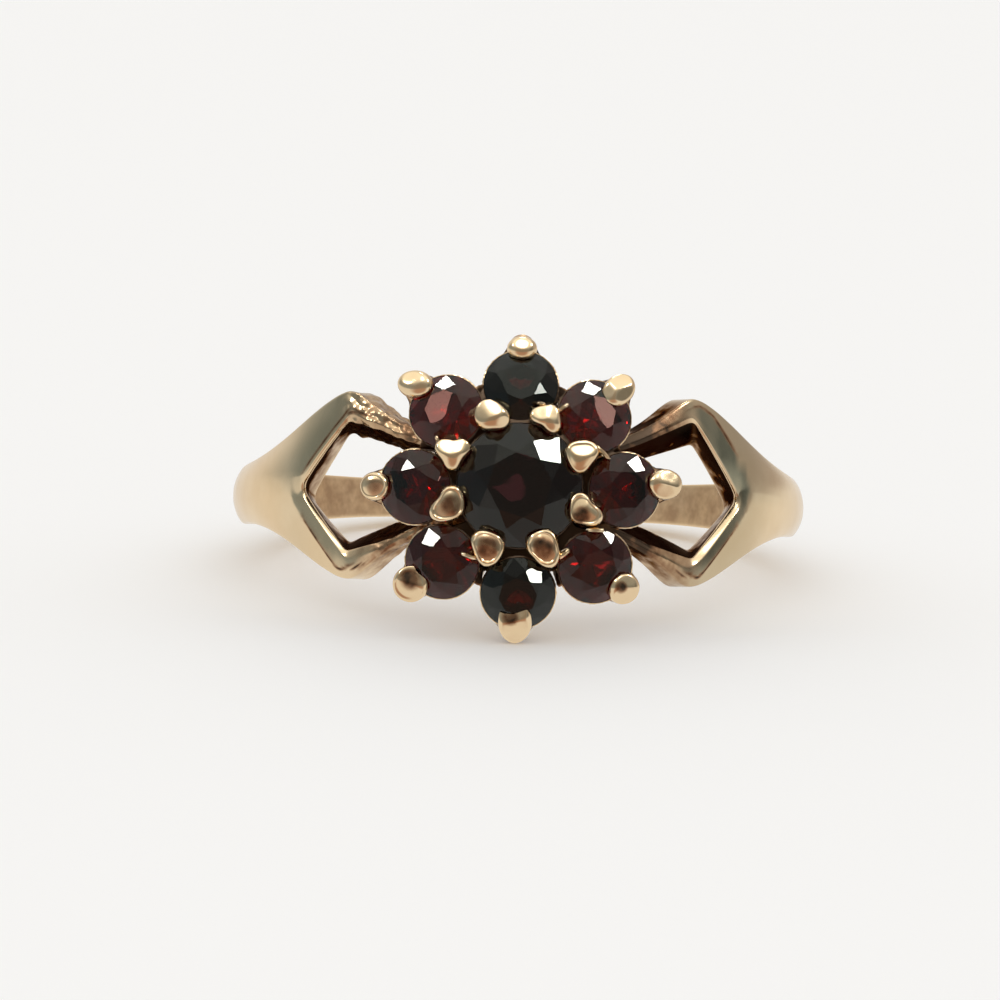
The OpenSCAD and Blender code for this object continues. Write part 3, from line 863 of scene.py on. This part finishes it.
def bending():
    """Recipe that bends the flat strip round the finger, domes its face and roughens its cast arms."""
    r = Recipe("bend_round_the_finger", {
        "Finger radius": FINGER_R, "Side thickness": SIDE_THICK, "Back thickness": BACK_THICK,
        "Dome": DOME, "Bow": BOW, "Nugget height": 0.15, "Nugget size": 0.4, "Nugget edge": 0.42,
        "Nugget softness": 0.35, "Hammer marks": 0.012, "Hammer grain": 0.55, "Seed": 3, "Metal": GOLD,
    })
    size = r.start
    place = r.add("ShaderNodeSeparateXYZ", {0: r.add("GeometryNodeInputPosition").outputs[0]}).outputs
    turn, height, depth = place[0], place[1], place[2]
    sine, cosine = r.calc("SINE", turn), r.calc("COSINE", turn)

    at_back = r.calc("LESS_THAN", cosine, 0.0)
    side_share = r.calc("MULTIPLY", sine, sine)
    thinning = r.calc("MULTIPLY", at_back, r.calc("SUBTRACT", 1.0, side_share))
    lost = r.calc("MULTIPLY", thinning, r.calc("SUBTRACT", size["Side thickness"], size["Back thickness"]))
    across = r.calc("ABSOLUTE", r.attribute("across"))
    drop = r.calc("MULTIPLY", size["Dome"], r.calc("POWER", across, DOME_POWER))
    thick = r.calc("SUBTRACT", r.calc("SUBTRACT", size["Side thickness"], lost), drop)
    radius = r.calc("MULTIPLY_ADD", thick, depth, size["Finger radius"])

    x = r.calc("MULTIPLY", radius, sine)
    y = r.calc("MULTIPLY", r.calc("MULTIPLY", radius, cosine), -1.0)
    bowed = r.calc("SUBTRACT", BOW_SHARE, r.calc("MULTIPLY", side_share, side_share))
    z = r.calc("MULTIPLY_ADD", bowed, size["Bow"], height)
    bent = r.add("ShaderNodeCombineXYZ", {0: x, 1: y, 2: z}).outputs[0]
    wrapped = r.add("GeometryNodeSetPosition", {"Geometry": size["Geometry"], "Position": bent})
    smooth = r.add("GeometryNodeSubdivisionSurface", {"Mesh": wrapped.outputs[0], "Level": 2})

    where = r.add("GeometryNodeInputPosition").outputs[0]
    lumps = r.add("ShaderNodeTexVoronoi", {
        "Vector": where, "Scale": r.calc("DIVIDE", 1.0, size["Nugget size"]),
        "Smoothness": size["Nugget softness"], "W": size["Seed"],
    }, voronoi_dimensions="4D", feature="SMOOTH_F1")
    swollen = r.calc("SUBTRACT", size["Nugget edge"], lumps.outputs["Distance"])
    nugget = r.calc("MULTIPLY", r.calc("MULTIPLY", swollen, size["Nugget height"]), r.attribute("cast"))
    waves = r.add("ShaderNodeTexNoise", {
        "Vector": where, "Scale": size["Hammer grain"], "W": size["Seed"],
    }, noise_dimensions="4D")
    worn = r.calc("MULTIPLY", r.calc("SUBTRACT", waves.outputs["Fac"], 0.5), size["Hammer marks"])
    rough = r.pushed(smooth.outputs[0], r.calc("ADD", nugget, worn))
    r.finish(r.add("GeometryNodeSetShadeSmooth", {"Geometry": rough}).outputs[0])
    return r


def make_shank():
    """The forked shank, bent round the finger and set in the frame."""
    shank = bending().apply(pierced_strip(), "forked_shank")
    shank.data.transform(RING)
    return shank


# Stones

def brilliant(diameter, name, grow=0.0, sides=GIRDLE_SIDES):
    """Round brilliant on the z axis, girdle at 0: a drum cut down by the planes of its 57 facets."""
    radius = diameter / 2
    rg = radius + grow
    rt = TABLE * radius + grow
    band = GIRDLE * radius + grow
    slant = CROWN / (1 - TABLE)
    deep = PAVILION * rg
    half_step = 22.5
    shorten = math.cos(math.radians(half_step))
    star_r = (rt * shorten + rg) / 2
    tip_r = LOWER_TIP * rg
    table_h = band + slant * (rg - rt)
    star_h = band + slant * (rg - star_r * shorten)
    tip_h = -band - deep * (1 - tip_r * shorten / rg)
    culet = Vector((0, 0, -band - deep))

    bm = bmesh.new()
    tall = 2 * (deep + band) + 1
    bmesh.ops.create_cone(bm, cap_ends=True, segments=sides, radius1=rg, radius2=rg, depth=tall)
    planes = [(Vector((0, 0, table_h)), Vector((1, 0, table_h)), Vector((0, 1, table_h)))]
    for k in range(8):
        a = 45 * k
        table_point, next_table = polar(a, rt, table_h), polar(a + 45, rt, table_h)
        star = polar(a + half_step, star_r, star_h)
        last_star = polar(a - half_step, star_r, star_h)
        tip, last_tip = polar(a + half_step, tip_r, tip_h), polar(a - half_step, tip_r, tip_h)
        planes.append((table_point, last_star, star))
        planes.append((table_point, star, next_table))
        planes.append((culet, last_tip, tip))
        for turn in (0, half_step):
            high = polar(a + turn, rg, band), polar(a + turn + half_step, rg, band)
            low = polar(a + turn, rg, -band), polar(a + turn + half_step, rg, -band)
            planes.append((star, *high))
            planes.append((tip, *low))
    for a, b, c in planes:
        normal = (b - a).cross(c - a).normalized()
        if normal.dot(a) < 0:
            normal.negate()
        geometry = bm.verts[:] + bm.edges[:] + bm.faces[:]
        cut = bmesh.ops.bisect_plane(
            bm, geom=geometry, dist=1e-6, plane_co=a, plane_no=normal, clear_outer=True,
        )
        edges = [e for e in cut["geom_cut"] if isinstance(e, bmesh.types.BMEdge) and e.is_boundary]
        if edges:
            bmesh.ops.contextual_create(bm, geom=edges)
    bmesh.ops.remove_doubles(bm, verts=bm.verts, dist=1e-4)
    return piece_from(bm, name)


def petal_place(petal):
    """Leaning frame of a petal on the head's axis."""
    return (
        Matrix.Translation(polar(petal[0], petal[1], PETAL_H))
        @ Matrix.Rotation(math.radians(petal[0]), 4, "Z")
        @ Matrix.Rotation(math.radians(PETAL_LEAN), 4, "Y")
    )


# Diameter and place of each stone on the head, the centre stone first, and the way from the head into
# each seat
CENTRE = Matrix.Translation((0, 0, CENTRE_H))
SEATS = [(CENTRE_D, CENTRE)] + [(PETAL_D, petal_place(petal)) for petal in PETALS]
INTO_SEATS = [(diameter, place.inverted()) for diameter, place in SEATS]


def make_stones():
    """The nine garnets, each turned a little differently in its seat."""
    stones = []
    seats = [("centre_garnet", "centre_stone", CENTRE_D, CENTRE, 7, "dark")]
    for k, (petal, colour) in enumerate(zip(PETALS, PETAL_LIGHT_AND_SHADE)):
        name, node = f"petal_garnet_{k + 1}", f"petal_stone_{k + 1}"
        seats.append((name, node, PETAL_D, petal_place(petal), 13 * k, colour))
    for name, node, diameter, seat, turn, colour in seats:
        stone = brilliant(diameter, name)
        stone.data.transform(HEAD @ seat @ Matrix.Rotation(math.radians(turn), 4, "Z"))
        stone.data.materials.append(GARNETS[colour])
        stones.append((stone, node))
    return stones


# Setting

def soft_min(values):
    """Smallest of some heights, with the meeting of two of them a little rounded."""
    low = min(values)
    return low - FLAT_BLEND * math.log(sum(math.exp((low - v) / FLAT_BLEND) for v in values))


def tip_height(share, x, y, rise, dish, flats):
    """Height of a claw's tip: a low dome cut by its flats, with the middle dished inside a rim."""
    wall = TIP_WALL * rise / INNER_RISE
    dome = wall + (rise - wall) * (1 - share ** TIP_ROUND) ** 0.5
    heights = [dome]
    for looks, slope, middle in flats:
        turn = math.radians(looks)
        heights.append(middle * rise / INNER_RISE - slope * (x * math.cos(turn) + y * math.sin(turn)))
    inside = ramp(*DISH_RIM, share)
    dished = soft_min(heights) - dish * inside * inside * (3 - 2 * inside)
    return max(dished, wall * (1 - share) + TIP_LEAST)


def tip_rows(outline, rise, dish, flats):
    """Rows of a claw's tip from the edge of its top to the middle, about the tip's own centre."""
    rows = []
    for share in TIP_SHARES:
        row = [point * share for point in outline]
        rows.append([Vector((v.x, v.y, tip_height(share, v.x, v.y, rise, dish, flats))) for v in row])
    return rows


def inner_claw(notch, flats):
    """Inner claw on the head's axis: a post with its tip pushed over the stones beside it."""
    angle, reach, tip_angle, tip_reach, share, oval, oval_turn, tri, tri_turn, dish = notch

    def outline(moved, size, shaped):
        turn = angle + moved * (tip_angle - angle)
        points = []
        for k in range(TIP_SIDES):
            a = 360 * k / TIP_SIDES
            swell = oval * math.cos(math.radians(2 * (a - oval_turn)))
            swell += tri * math.cos(math.radians(3 * (a - tri_turn)))
            points.append(polar(a + turn, size * share * INNER_TIP * (1 + shaped * swell)))
        return points

    def middle(moved):
        return polar(angle + moved * (tip_angle - angle), reach + moved * (tip_reach - reach), CENTRE_H)

    rows = []
    for moved, height, size, shaped in INNER_POST:
        rows.append([middle(moved) + v + Vector((0, 0, height)) for v in outline(moved, size, shaped)])
    rows += [[middle(1) + v for v in row] for row in tip_rows(outline(1, 1, 1), INNER_RISE, dish, flats)]
    return rows


def outer_claw(petal, bead):
    """Outer claw on the head's axis: a wire up the outside of its collet, bent over the stone."""
    off = petal[2] - petal[0]
    lean = math.radians(PETAL_LEAN)
    x = (petal[3] * math.cos(math.radians(off)) - petal[1]) / math.cos(lean) - CLAW_PULL
    y = petal[3] * math.sin(math.radians(off))
    long, wide = petal[4], petal[5]
    bead_long, bead_wide, bead_turn, outwards, dish, flats = bead

    def outline(half_long, half_wide, turned=off):
        points = []
        for k in range(TIP_SIDES):
            a = 2 * math.pi * k / TIP_SIDES - math.radians(turned)
            size = 1 / math.hypot(math.cos(a) / half_long, math.sin(a) / half_wide)
            points.append(polar(360 * k / TIP_SIDES, size))
        return points

    # Rows from the foot of the wire up to the bend: place beside the stone, half length and half width
    below = [
        (0.42, 0, -1.35, CLAW_WIRE, CLAW_WIRE), (0.92, 0.4 * y, -0.62, CLAW_WIRE, CLAW_WIRE),
        (1.04, 0.6 * y, -0.35, CLAW_THICK, CLAW_SHOULDER), (1.08, 0.7 * y, -0.16, CLAW_THICK, CLAW_BEND),
        (0.5 * (1.12 + x), 0.9 * y, 0.0, 0.5 * (CLAW_THICK + long), 0.5 * (CLAW_BEND + wide)),
        (x + 0.04, y, 0.1, long, 1.02 * wide),
    ]
    rows = [[v + Vector((row_x, row_y, z)) for v in outline(*half)] for row_x, row_y, z, *half in below]
    seen = [(looks - petal[0], slope, height) for looks, slope, height in flats]
    middle = Vector((x + outwards, y, 0))
    edge = outline(bead_long, bead_wide, bead_turn - petal[0])
    rows.append([middle + v + Vector((0, 0, 0.22)) for v in edge])
    rows += [[middle + v for v in row] for row in tip_rows(edge, OUTER_RISE, dish, seen)]
    place = petal_place(petal)
    return [[place @ v for v in row] for row in rows]


def sliver_rows(from_x, from_y, to_x, to_y, half):
    """Sliver on the head's axis: a narrow oval that rises from the stones' seats."""
    middle = Vector(((from_x + to_x) / 2, (from_y + to_y) / 2, CENTRE_H))
    along = Vector((to_x - from_x, to_y - from_y, 0)) / 2
    across = Vector((-along.y, along.x, 0)).normalized()
    rows = []
    for height, share in SLIVER_ROWS:
        row = []
        for k in range(SLIVER_SIDES):
            a = 2 * math.pi * k / SLIVER_SIDES
            around = math.cos(a) * along + math.sin(a) * half * across
            row.append(middle + share * around + Vector((0, 0, height)))
        rows.append(row)
    return rows


def make_claws():
    """All sixteen claws, each a closed solid of its own, and the slivers beside them."""
    bm = bmesh.new()
    for notch, flats in zip(NOTCHES, INNER_FLATS):
        add_loft(bm, inner_claw(notch, flats))
    for petal, bead in zip(PETALS, OUTER_BEADS):
        add_loft(bm, outer_claw(petal, bead))
    for sliver in SLIVERS:
        add_loft(bm, sliver_rows(*sliver))
    return piece_from(bm, "claws")


def turned_solid(rows, sides, name):
    """Solid turned on the z axis through rows of radius and height."""
    bm = bmesh.new()
    add_loft(bm, [[polar(360 * k / sides, radius, z) for k in range(sides)] for radius, z in rows])
    return piece_from(bm, name)


def collet(radius, foot, deep, name):
    """Cup that a stone sits in, still solid: its seat is cut later."""
    rim = radius + RIM
    waist = foot + 0.35 * (rim - foot)
    rows = [(foot, -deep), (waist, -0.62 * deep), (rim, 0.0), (rim - 0.03, GIRDLE * radius)]
    return turned_solid(rows, CUP_SIDES, name)


def web():
    """Sliver of metal that joins two collets behind a notch of the flower."""
    rows = []
    for z, near, far, half in (WEB_FOOT, WEB_TOP):
        height = z - CENTRE_H
        rows.append([Vector((near, 0, height)), Vector((far, -half, height)), Vector((far, half, height))])
    bm = bmesh.new()
    add_loft(bm, rows)
    return piece_from(bm, "web")


def head_ring():
    """Ring below the collets that the arms of the shank are soldered to."""
    bm = bmesh.new()
    n = RING_SIDES
    rings = [[bm.verts.new(polar(360 * k / n, r, z)) for k in range(n)] for r, z in RING_SECTION]
    for a, b in zip(rings, rings[1:] + rings[:1]):
        for k in range(n):
            bm.faces.new((a[k], a[(k + 1) % n], b[(k + 1) % n], b[k]))
    return piece_from(bm, "head_ring")


def repeated(piece, places, name):
    """Repeats one piece on the given places of the head, each with its own turn."""
    mesh = bpy.data.meshes.new(name)
    mesh.from_pydata([place.to_translation() for place in places], [], [])
    turned = mesh.attributes.new("turned", "FLOAT_VECTOR", "POINT")
    for k, place in enumerate(places):
        turned.data[k].vector = place.to_euler()

    r = Recipe(f"set_{name}", {"Piece": piece, "Metal": GOLD})
    info = r.add("GeometryNodeObjectInfo", {"Object": r.start["Piece"]})
    rotation = r.add("FunctionNodeEulerToRotation", {0: r.attribute("turned", "FLOAT_VECTOR")})
    spots = r.add("GeometryNodeMeshToPoints", {"Mesh": r.start["Geometry"]})
    copies = r.add("GeometryNodeInstanceOnPoints", {
        "Points": spots.outputs[0], "Instance": info.outputs["Geometry"], "Rotation": rotation.outputs[0],
    })
    r.finish(copies.outputs[0])
    done = r.apply(placed(mesh, name), name)
    bpy.data.objects.remove(piece)
    return done


def cut_away(obj, cutter):
    """Cuts one object out of another."""
    cut = obj.modifiers.new("cut", "BOOLEAN")
    cut.operation = "DIFFERENCE"
    cut.solver = "EXACT"
    cut.object = cutter
    done = evaluated(obj, obj.name)
    bpy.data.objects.remove(cutter)
    return done


def seat_cutter():
    """The nine stones, each grown by the room in its seat."""
    cutters = []
    for diameter, place in SEATS:
        cutter = brilliant(diameter, "seat", SEAT_GAP, SEAT_SIDES)
        cutter.data.transform(place)
        cutters.append(cutter)
    return joined(cutters, "seats")


def drum(size, place, sides, name):
    """Plain cutter from its radius, low end and high end, set on a place."""
    radius, low, high = size
    obj = turned_solid([(radius, low), (radius, high)], sides, name)
    obj.data.transform(place)
    return obj


def hand_worked(depth):
    """Recipe that gives the setting the small dents of a file and a claw pusher."""
    r = Recipe("hand_work", {"Dent depth": depth, "Dent size": 0.55, "Seed": 5, "Metal": GOLD})
    dents = r.add("ShaderNodeTexNoise", {
        "Vector": r.add("GeometryNodeInputPosition").outputs[0],
        "Scale": r.calc("DIVIDE", 1.0, r.start["Dent size"]), "Detail": 1.0, "W": r.start["Seed"],
    }, noise_dimensions="4D")
    move = r.calc("MULTIPLY", r.calc("SUBTRACT", dents.outputs["Fac"], 0.5), r.start["Dent depth"])
    r.finish(r.pushed(r.start["Geometry"], move))
    return r


def claw_dirt_and_shade(place):
    """Painted shade on a claw low on it beside the stones, and painted reflections in the dents of its tip.
    """
    x, y, z = place
    away = math.hypot(x, y)
    # The painted shade reaches up to the girdles, which lie lower farther out
    level = CENTRE_H - 0.25 * max(0.0, away - 2.2)
    dirt_and_shade = SHADE_LOW_ON_CLAWS * ramp(level + 0.05, level - 0.25, z)
    if away > OUTSIDE:
        dirt_and_shade *= OUTER_CLAW_SHADE * ramp(level - 1.0, level - 0.5, z)
    # Painted brownish reflections in the dents of the tips
    for reflection_x, reflection_y, radius, strength in DISH_REFLECTIONS:
        near = math.hypot(x - reflection_x, y - reflection_y)
        dirt_and_shade = max(dirt_and_shade, strength * ramp(radius, 0.5 * radius, near))
    return dirt_and_shade


def cup_dirt_and_shade(place):
    """Dirt and painted shade on the cups and their ring: thick painted shade between the stones, and next
    to none under them.
    """
    if place.z > RING_TOP + 0.1:
        for diameter, from_head in INTO_SEATS:
            local = from_head @ place
            if math.hypot(local.x, local.y) < (diameter + SEAT_GAP) / 2 and local.z < 0.1:
                return DIRT_ELSEWHERE
    # Painted shade between the stones
    inside = ramp(3.6, 3.2, math.hypot(place.x, place.y))
    share = inside * ramp(RING_TOP - 0.12, RING_TOP - 0.04, place.z)
    return SHADE_BETWEEN * share + DIRT_ELSEWHERE * (1 - share)


def mark_dirt_and_shade(obj, dirt_and_shade_at):
    """Marks an object with the dirt and painted shade that a rule gives for each place on the head."""
    grime = obj.data.attributes.new("grime", "FLOAT", "POINT")
    for k, vertex in enumerate(obj.data.vertices):
        grime.data[k].value = dirt_and_shade_at(vertex.co)


def make_setting():
    """Flower setting: collets, ring and webs melted into one, with the claws on it and the seats cut."""
    petals = [petal_place(petal) for petal in PETALS]
    notches = []
    for notch in NOTCHES:
        angle, reach = notch[:2]
        outwards = Matrix.Rotation(math.radians(angle), 4, "Z")
        notches.append(Matrix.Translation(polar(angle, reach, CENTRE_H)) @ outwards)
    centre = collet(CENTRE_D / 2, *CENTRE_CUP, "centre_collet")
    centre.data.transform(CENTRE)
    body = joined([
        centre,
        head_ring(),
        repeated(collet(PETAL_D / 2, *PETAL_CUP, "petal_collet"), petals, "petal_collets"),
        repeated(web(), notches, "webs"),
    ], "collets")
    melt = body.modifiers.new("melt", "REMESH")
    melt.mode = "VOXEL"
    melt.voxel_size = MELT_GRAIN
    soften = body.modifiers.new("soften", "SMOOTH")
    soften.factor = 0.5
    soften.iterations = 4
    body = hand_worked(CUP_DENTS).apply(evaluated(body, "collets"), "collets")
    body = cut_away(body, seat_cutter())
    holes = [drum(CENTRE_LIGHT, CENTRE, CENTRE_LIGHT_SIDES, "light_hole")]
    holes += [drum(PETAL_LIGHT, place, PETAL_LIGHT_SIDES, "light_hole") for place in petals]
    body = cut_away(body, joined(holes, "light_holes"))
    along_finger = Matrix.Rotation(math.radians(-90), 4, "X")
    body = cut_away(body, drum((FINGER_R, -10, 10), along_finger, FINGER_SIDES, "finger"))
    claws = hand_worked(CLAW_DENTS).apply(make_claws(), "claws")
    claws = cut_away(claws, seat_cutter())
    mark_dirt_and_shade(body, cup_dirt_and_shade)
    mark_dirt_and_shade(claws, claw_dirt_and_shade)
    setting = joined([body, claws], "flower_setting")
    setting.data.materials.append(GOLD)
    setting.data.transform(HEAD)
    sharpen(setting, SHARP_EDGE)
    return setting


def sharpen(obj, degrees):
    """Smooth shading, except over edges sharper than the given angle."""
    bm = bmesh.new()
    bm.from_mesh(obj.data)
    for face in bm.faces:
        face.smooth = True
    for edge in bm.edges:
        edge.smooth = len(edge.link_faces) == 2 and edge.calc_face_angle(0.0) < math.radians(degrees)
    bm.to_mesh(obj.data)
    bm.free()


# Studio

def soft_room():
    """Light from all round: pale and even, and in the metal and the stones a room with darker sides."""
    world = bpy.data.worlds.new("soft_room")
    bpy.context.scene.world = world
    world.use_nodes = True
    world.cycles.sampling_method = "NONE"
    nodes = Nodes(world.node_tree)
    way = nodes.add("ShaderNodeTexCoord").outputs["Generated"]
    height = nodes.add("ShaderNodeSeparateXYZ", {0: way}).outputs[2]
    heights = nodes.add("ShaderNodeValToRGB", {"Fac": nodes.spread(height, -1.0, 1.0)})
    elements = heights.color_ramp.elements
    for element, (z, colour) in zip(elements, (ROOM_HEIGHTS[0], ROOM_HEIGHTS[-1])):
        element.position = (z + 1) / 2
        element.color = (*colour, 1)
    for z, colour in ROOM_HEIGHTS[1:-1]:
        elements.new((z + 1) / 2).color = (*colour, 1)

    def patched(base, patches):
        for direction, near, far, colour in patches:
            ends = math.cos(math.radians(far)), math.cos(math.radians(near))
            towards = Vector(direction).normalized()
            close = nodes.add("ShaderNodeVectorMath", {0: way, 1: towards}, operation="DOT_PRODUCT")
            weight = nodes.spread(close.outputs["Value"], *ends, interpolation_type="SMOOTHSTEP")
            base = nodes.blend(weight, base, colour)
        return base

    walls = patched(heights.outputs["Color"], ROOM_PATCHES)
    ground = patched(FLOOR_SEEN, FLOOR_PATCHES)
    above = nodes.spread(height, *FLOOR_EDGE, interpolation_type="SMOOTHSTEP")
    path = nodes.add("ShaderNodeLightPath").outputs
    mirrored = nodes.calc("MAXIMUM", path["Is Glossy Ray"], path["Is Transmission Ray"])
    seen = nodes.blend(mirrored, EVEN_LIGHT, nodes.blend(above, ground, walls))
    nodes.join(seen, nodes.tree.nodes["Background"].inputs["Color"])


def lamps(pieces):
    """Small bright soft boxes aimed at the ring, each for its gold or its stones and none for the floor."""
    lit = {}
    for kind, objects in pieces.items():
        lit[kind] = bpy.data.collections.new(f"lit_{kind}")
        for obj in objects:
            lit[kind].objects.link(obj)
    for name, kind, direction, distance, size, radiance, colour in LAMPS:
        light = bpy.data.lights.new(name, "AREA")
        light.shape = "DISK"
        light.size = size
        light.energy = radiance * math.pi * math.pi * (size / 2) ** 2
        light.color = colour
        lamp = bpy.data.objects.new(name, light)
        lamp.location = Vector(direction).normalized() * distance
        lamp.rotation_euler = (-lamp.location).to_track_quat("-Z", "Y").to_euler()
        bpy.context.scene.collection.objects.link(lamp)
        lamp.light_linking.receiver_collection = lit[kind]


def aim_camera():
    """Camera at the photograph's angle, with the ring where the photograph has it."""
    data = bpy.data.cameras.new("camera")
    camera = bpy.data.objects.new("camera", data)
    bpy.context.scene.collection.objects.link(camera)
    bpy.context.scene.camera = camera
    data.sensor_width = SENSOR
    data.lens = SENSOR * VIEW_FOCUS / PHOTO_SIDE
    data.clip_start = 0.01
    data.clip_end = 10
    turn, rise, roll = math.radians(VIEW_TURN), math.radians(VIEW_RISE), math.radians(VIEW_TILT)
    away = Vector((math.sin(turn) * math.cos(rise), -math.cos(turn) * math.cos(rise), math.sin(rise)))
    spot = Vector((0, 0, VIEW_HEIGHT * MM)) + VIEW_DISTANCE * MM * away
    right = (-away).cross(Vector((0, 0, 1))).normalized()
    up = right.cross(-away)
    off = Matrix.Rotation(roll, 2) @ Vector(VIEW_OFF)
    look = (-away * VIEW_FOCUS + (right * off.x + up * off.y)).normalized()
    side = look.cross(up).normalized()
    top = side.cross(look)
    tilted_side = side * math.cos(roll) + top * math.sin(roll)
    tilted_top = top * math.cos(roll) - side * math.sin(roll)
    turned = Matrix((tilted_side, tilted_top, -look)).transposed().to_4x4()
    camera.matrix_world = Matrix.Translation(spot) @ turned


def make_studio():
    """Pale floor that neither the metal nor the stones mirror, soft light all round, and the camera."""
    bm = bmesh.new()
    bmesh.ops.create_grid(bm, x_segments=1, y_segments=1, size=1.5)
    floor = piece_from(bm, "floor")
    paper = shader("pale_paper", {
        "Base Color": (0.93, 0.925, 0.915, 1), "Roughness": 0.9, "Specular IOR Level": 0.1,
    })[0]
    floor.data.materials.append(paper)
    floor.visible_glossy = False
    floor.visible_transmission = False
    soft_room()
    aim_camera()
    bpy.context.scene.view_settings.view_transform = "Standard"


def main():
    make_studio()
    shank = make_shank()
    setting = make_setting()
    for gold in (shank, setting):
        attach(gold, "root")
        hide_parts("gold_mounting")
    stones = make_stones()
    for stone, node in stones:
        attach(stone, "root")
        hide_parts(node)
    lamps({"gold": [shank, setting], "stones": [stone for stone, node in stones]})


main()
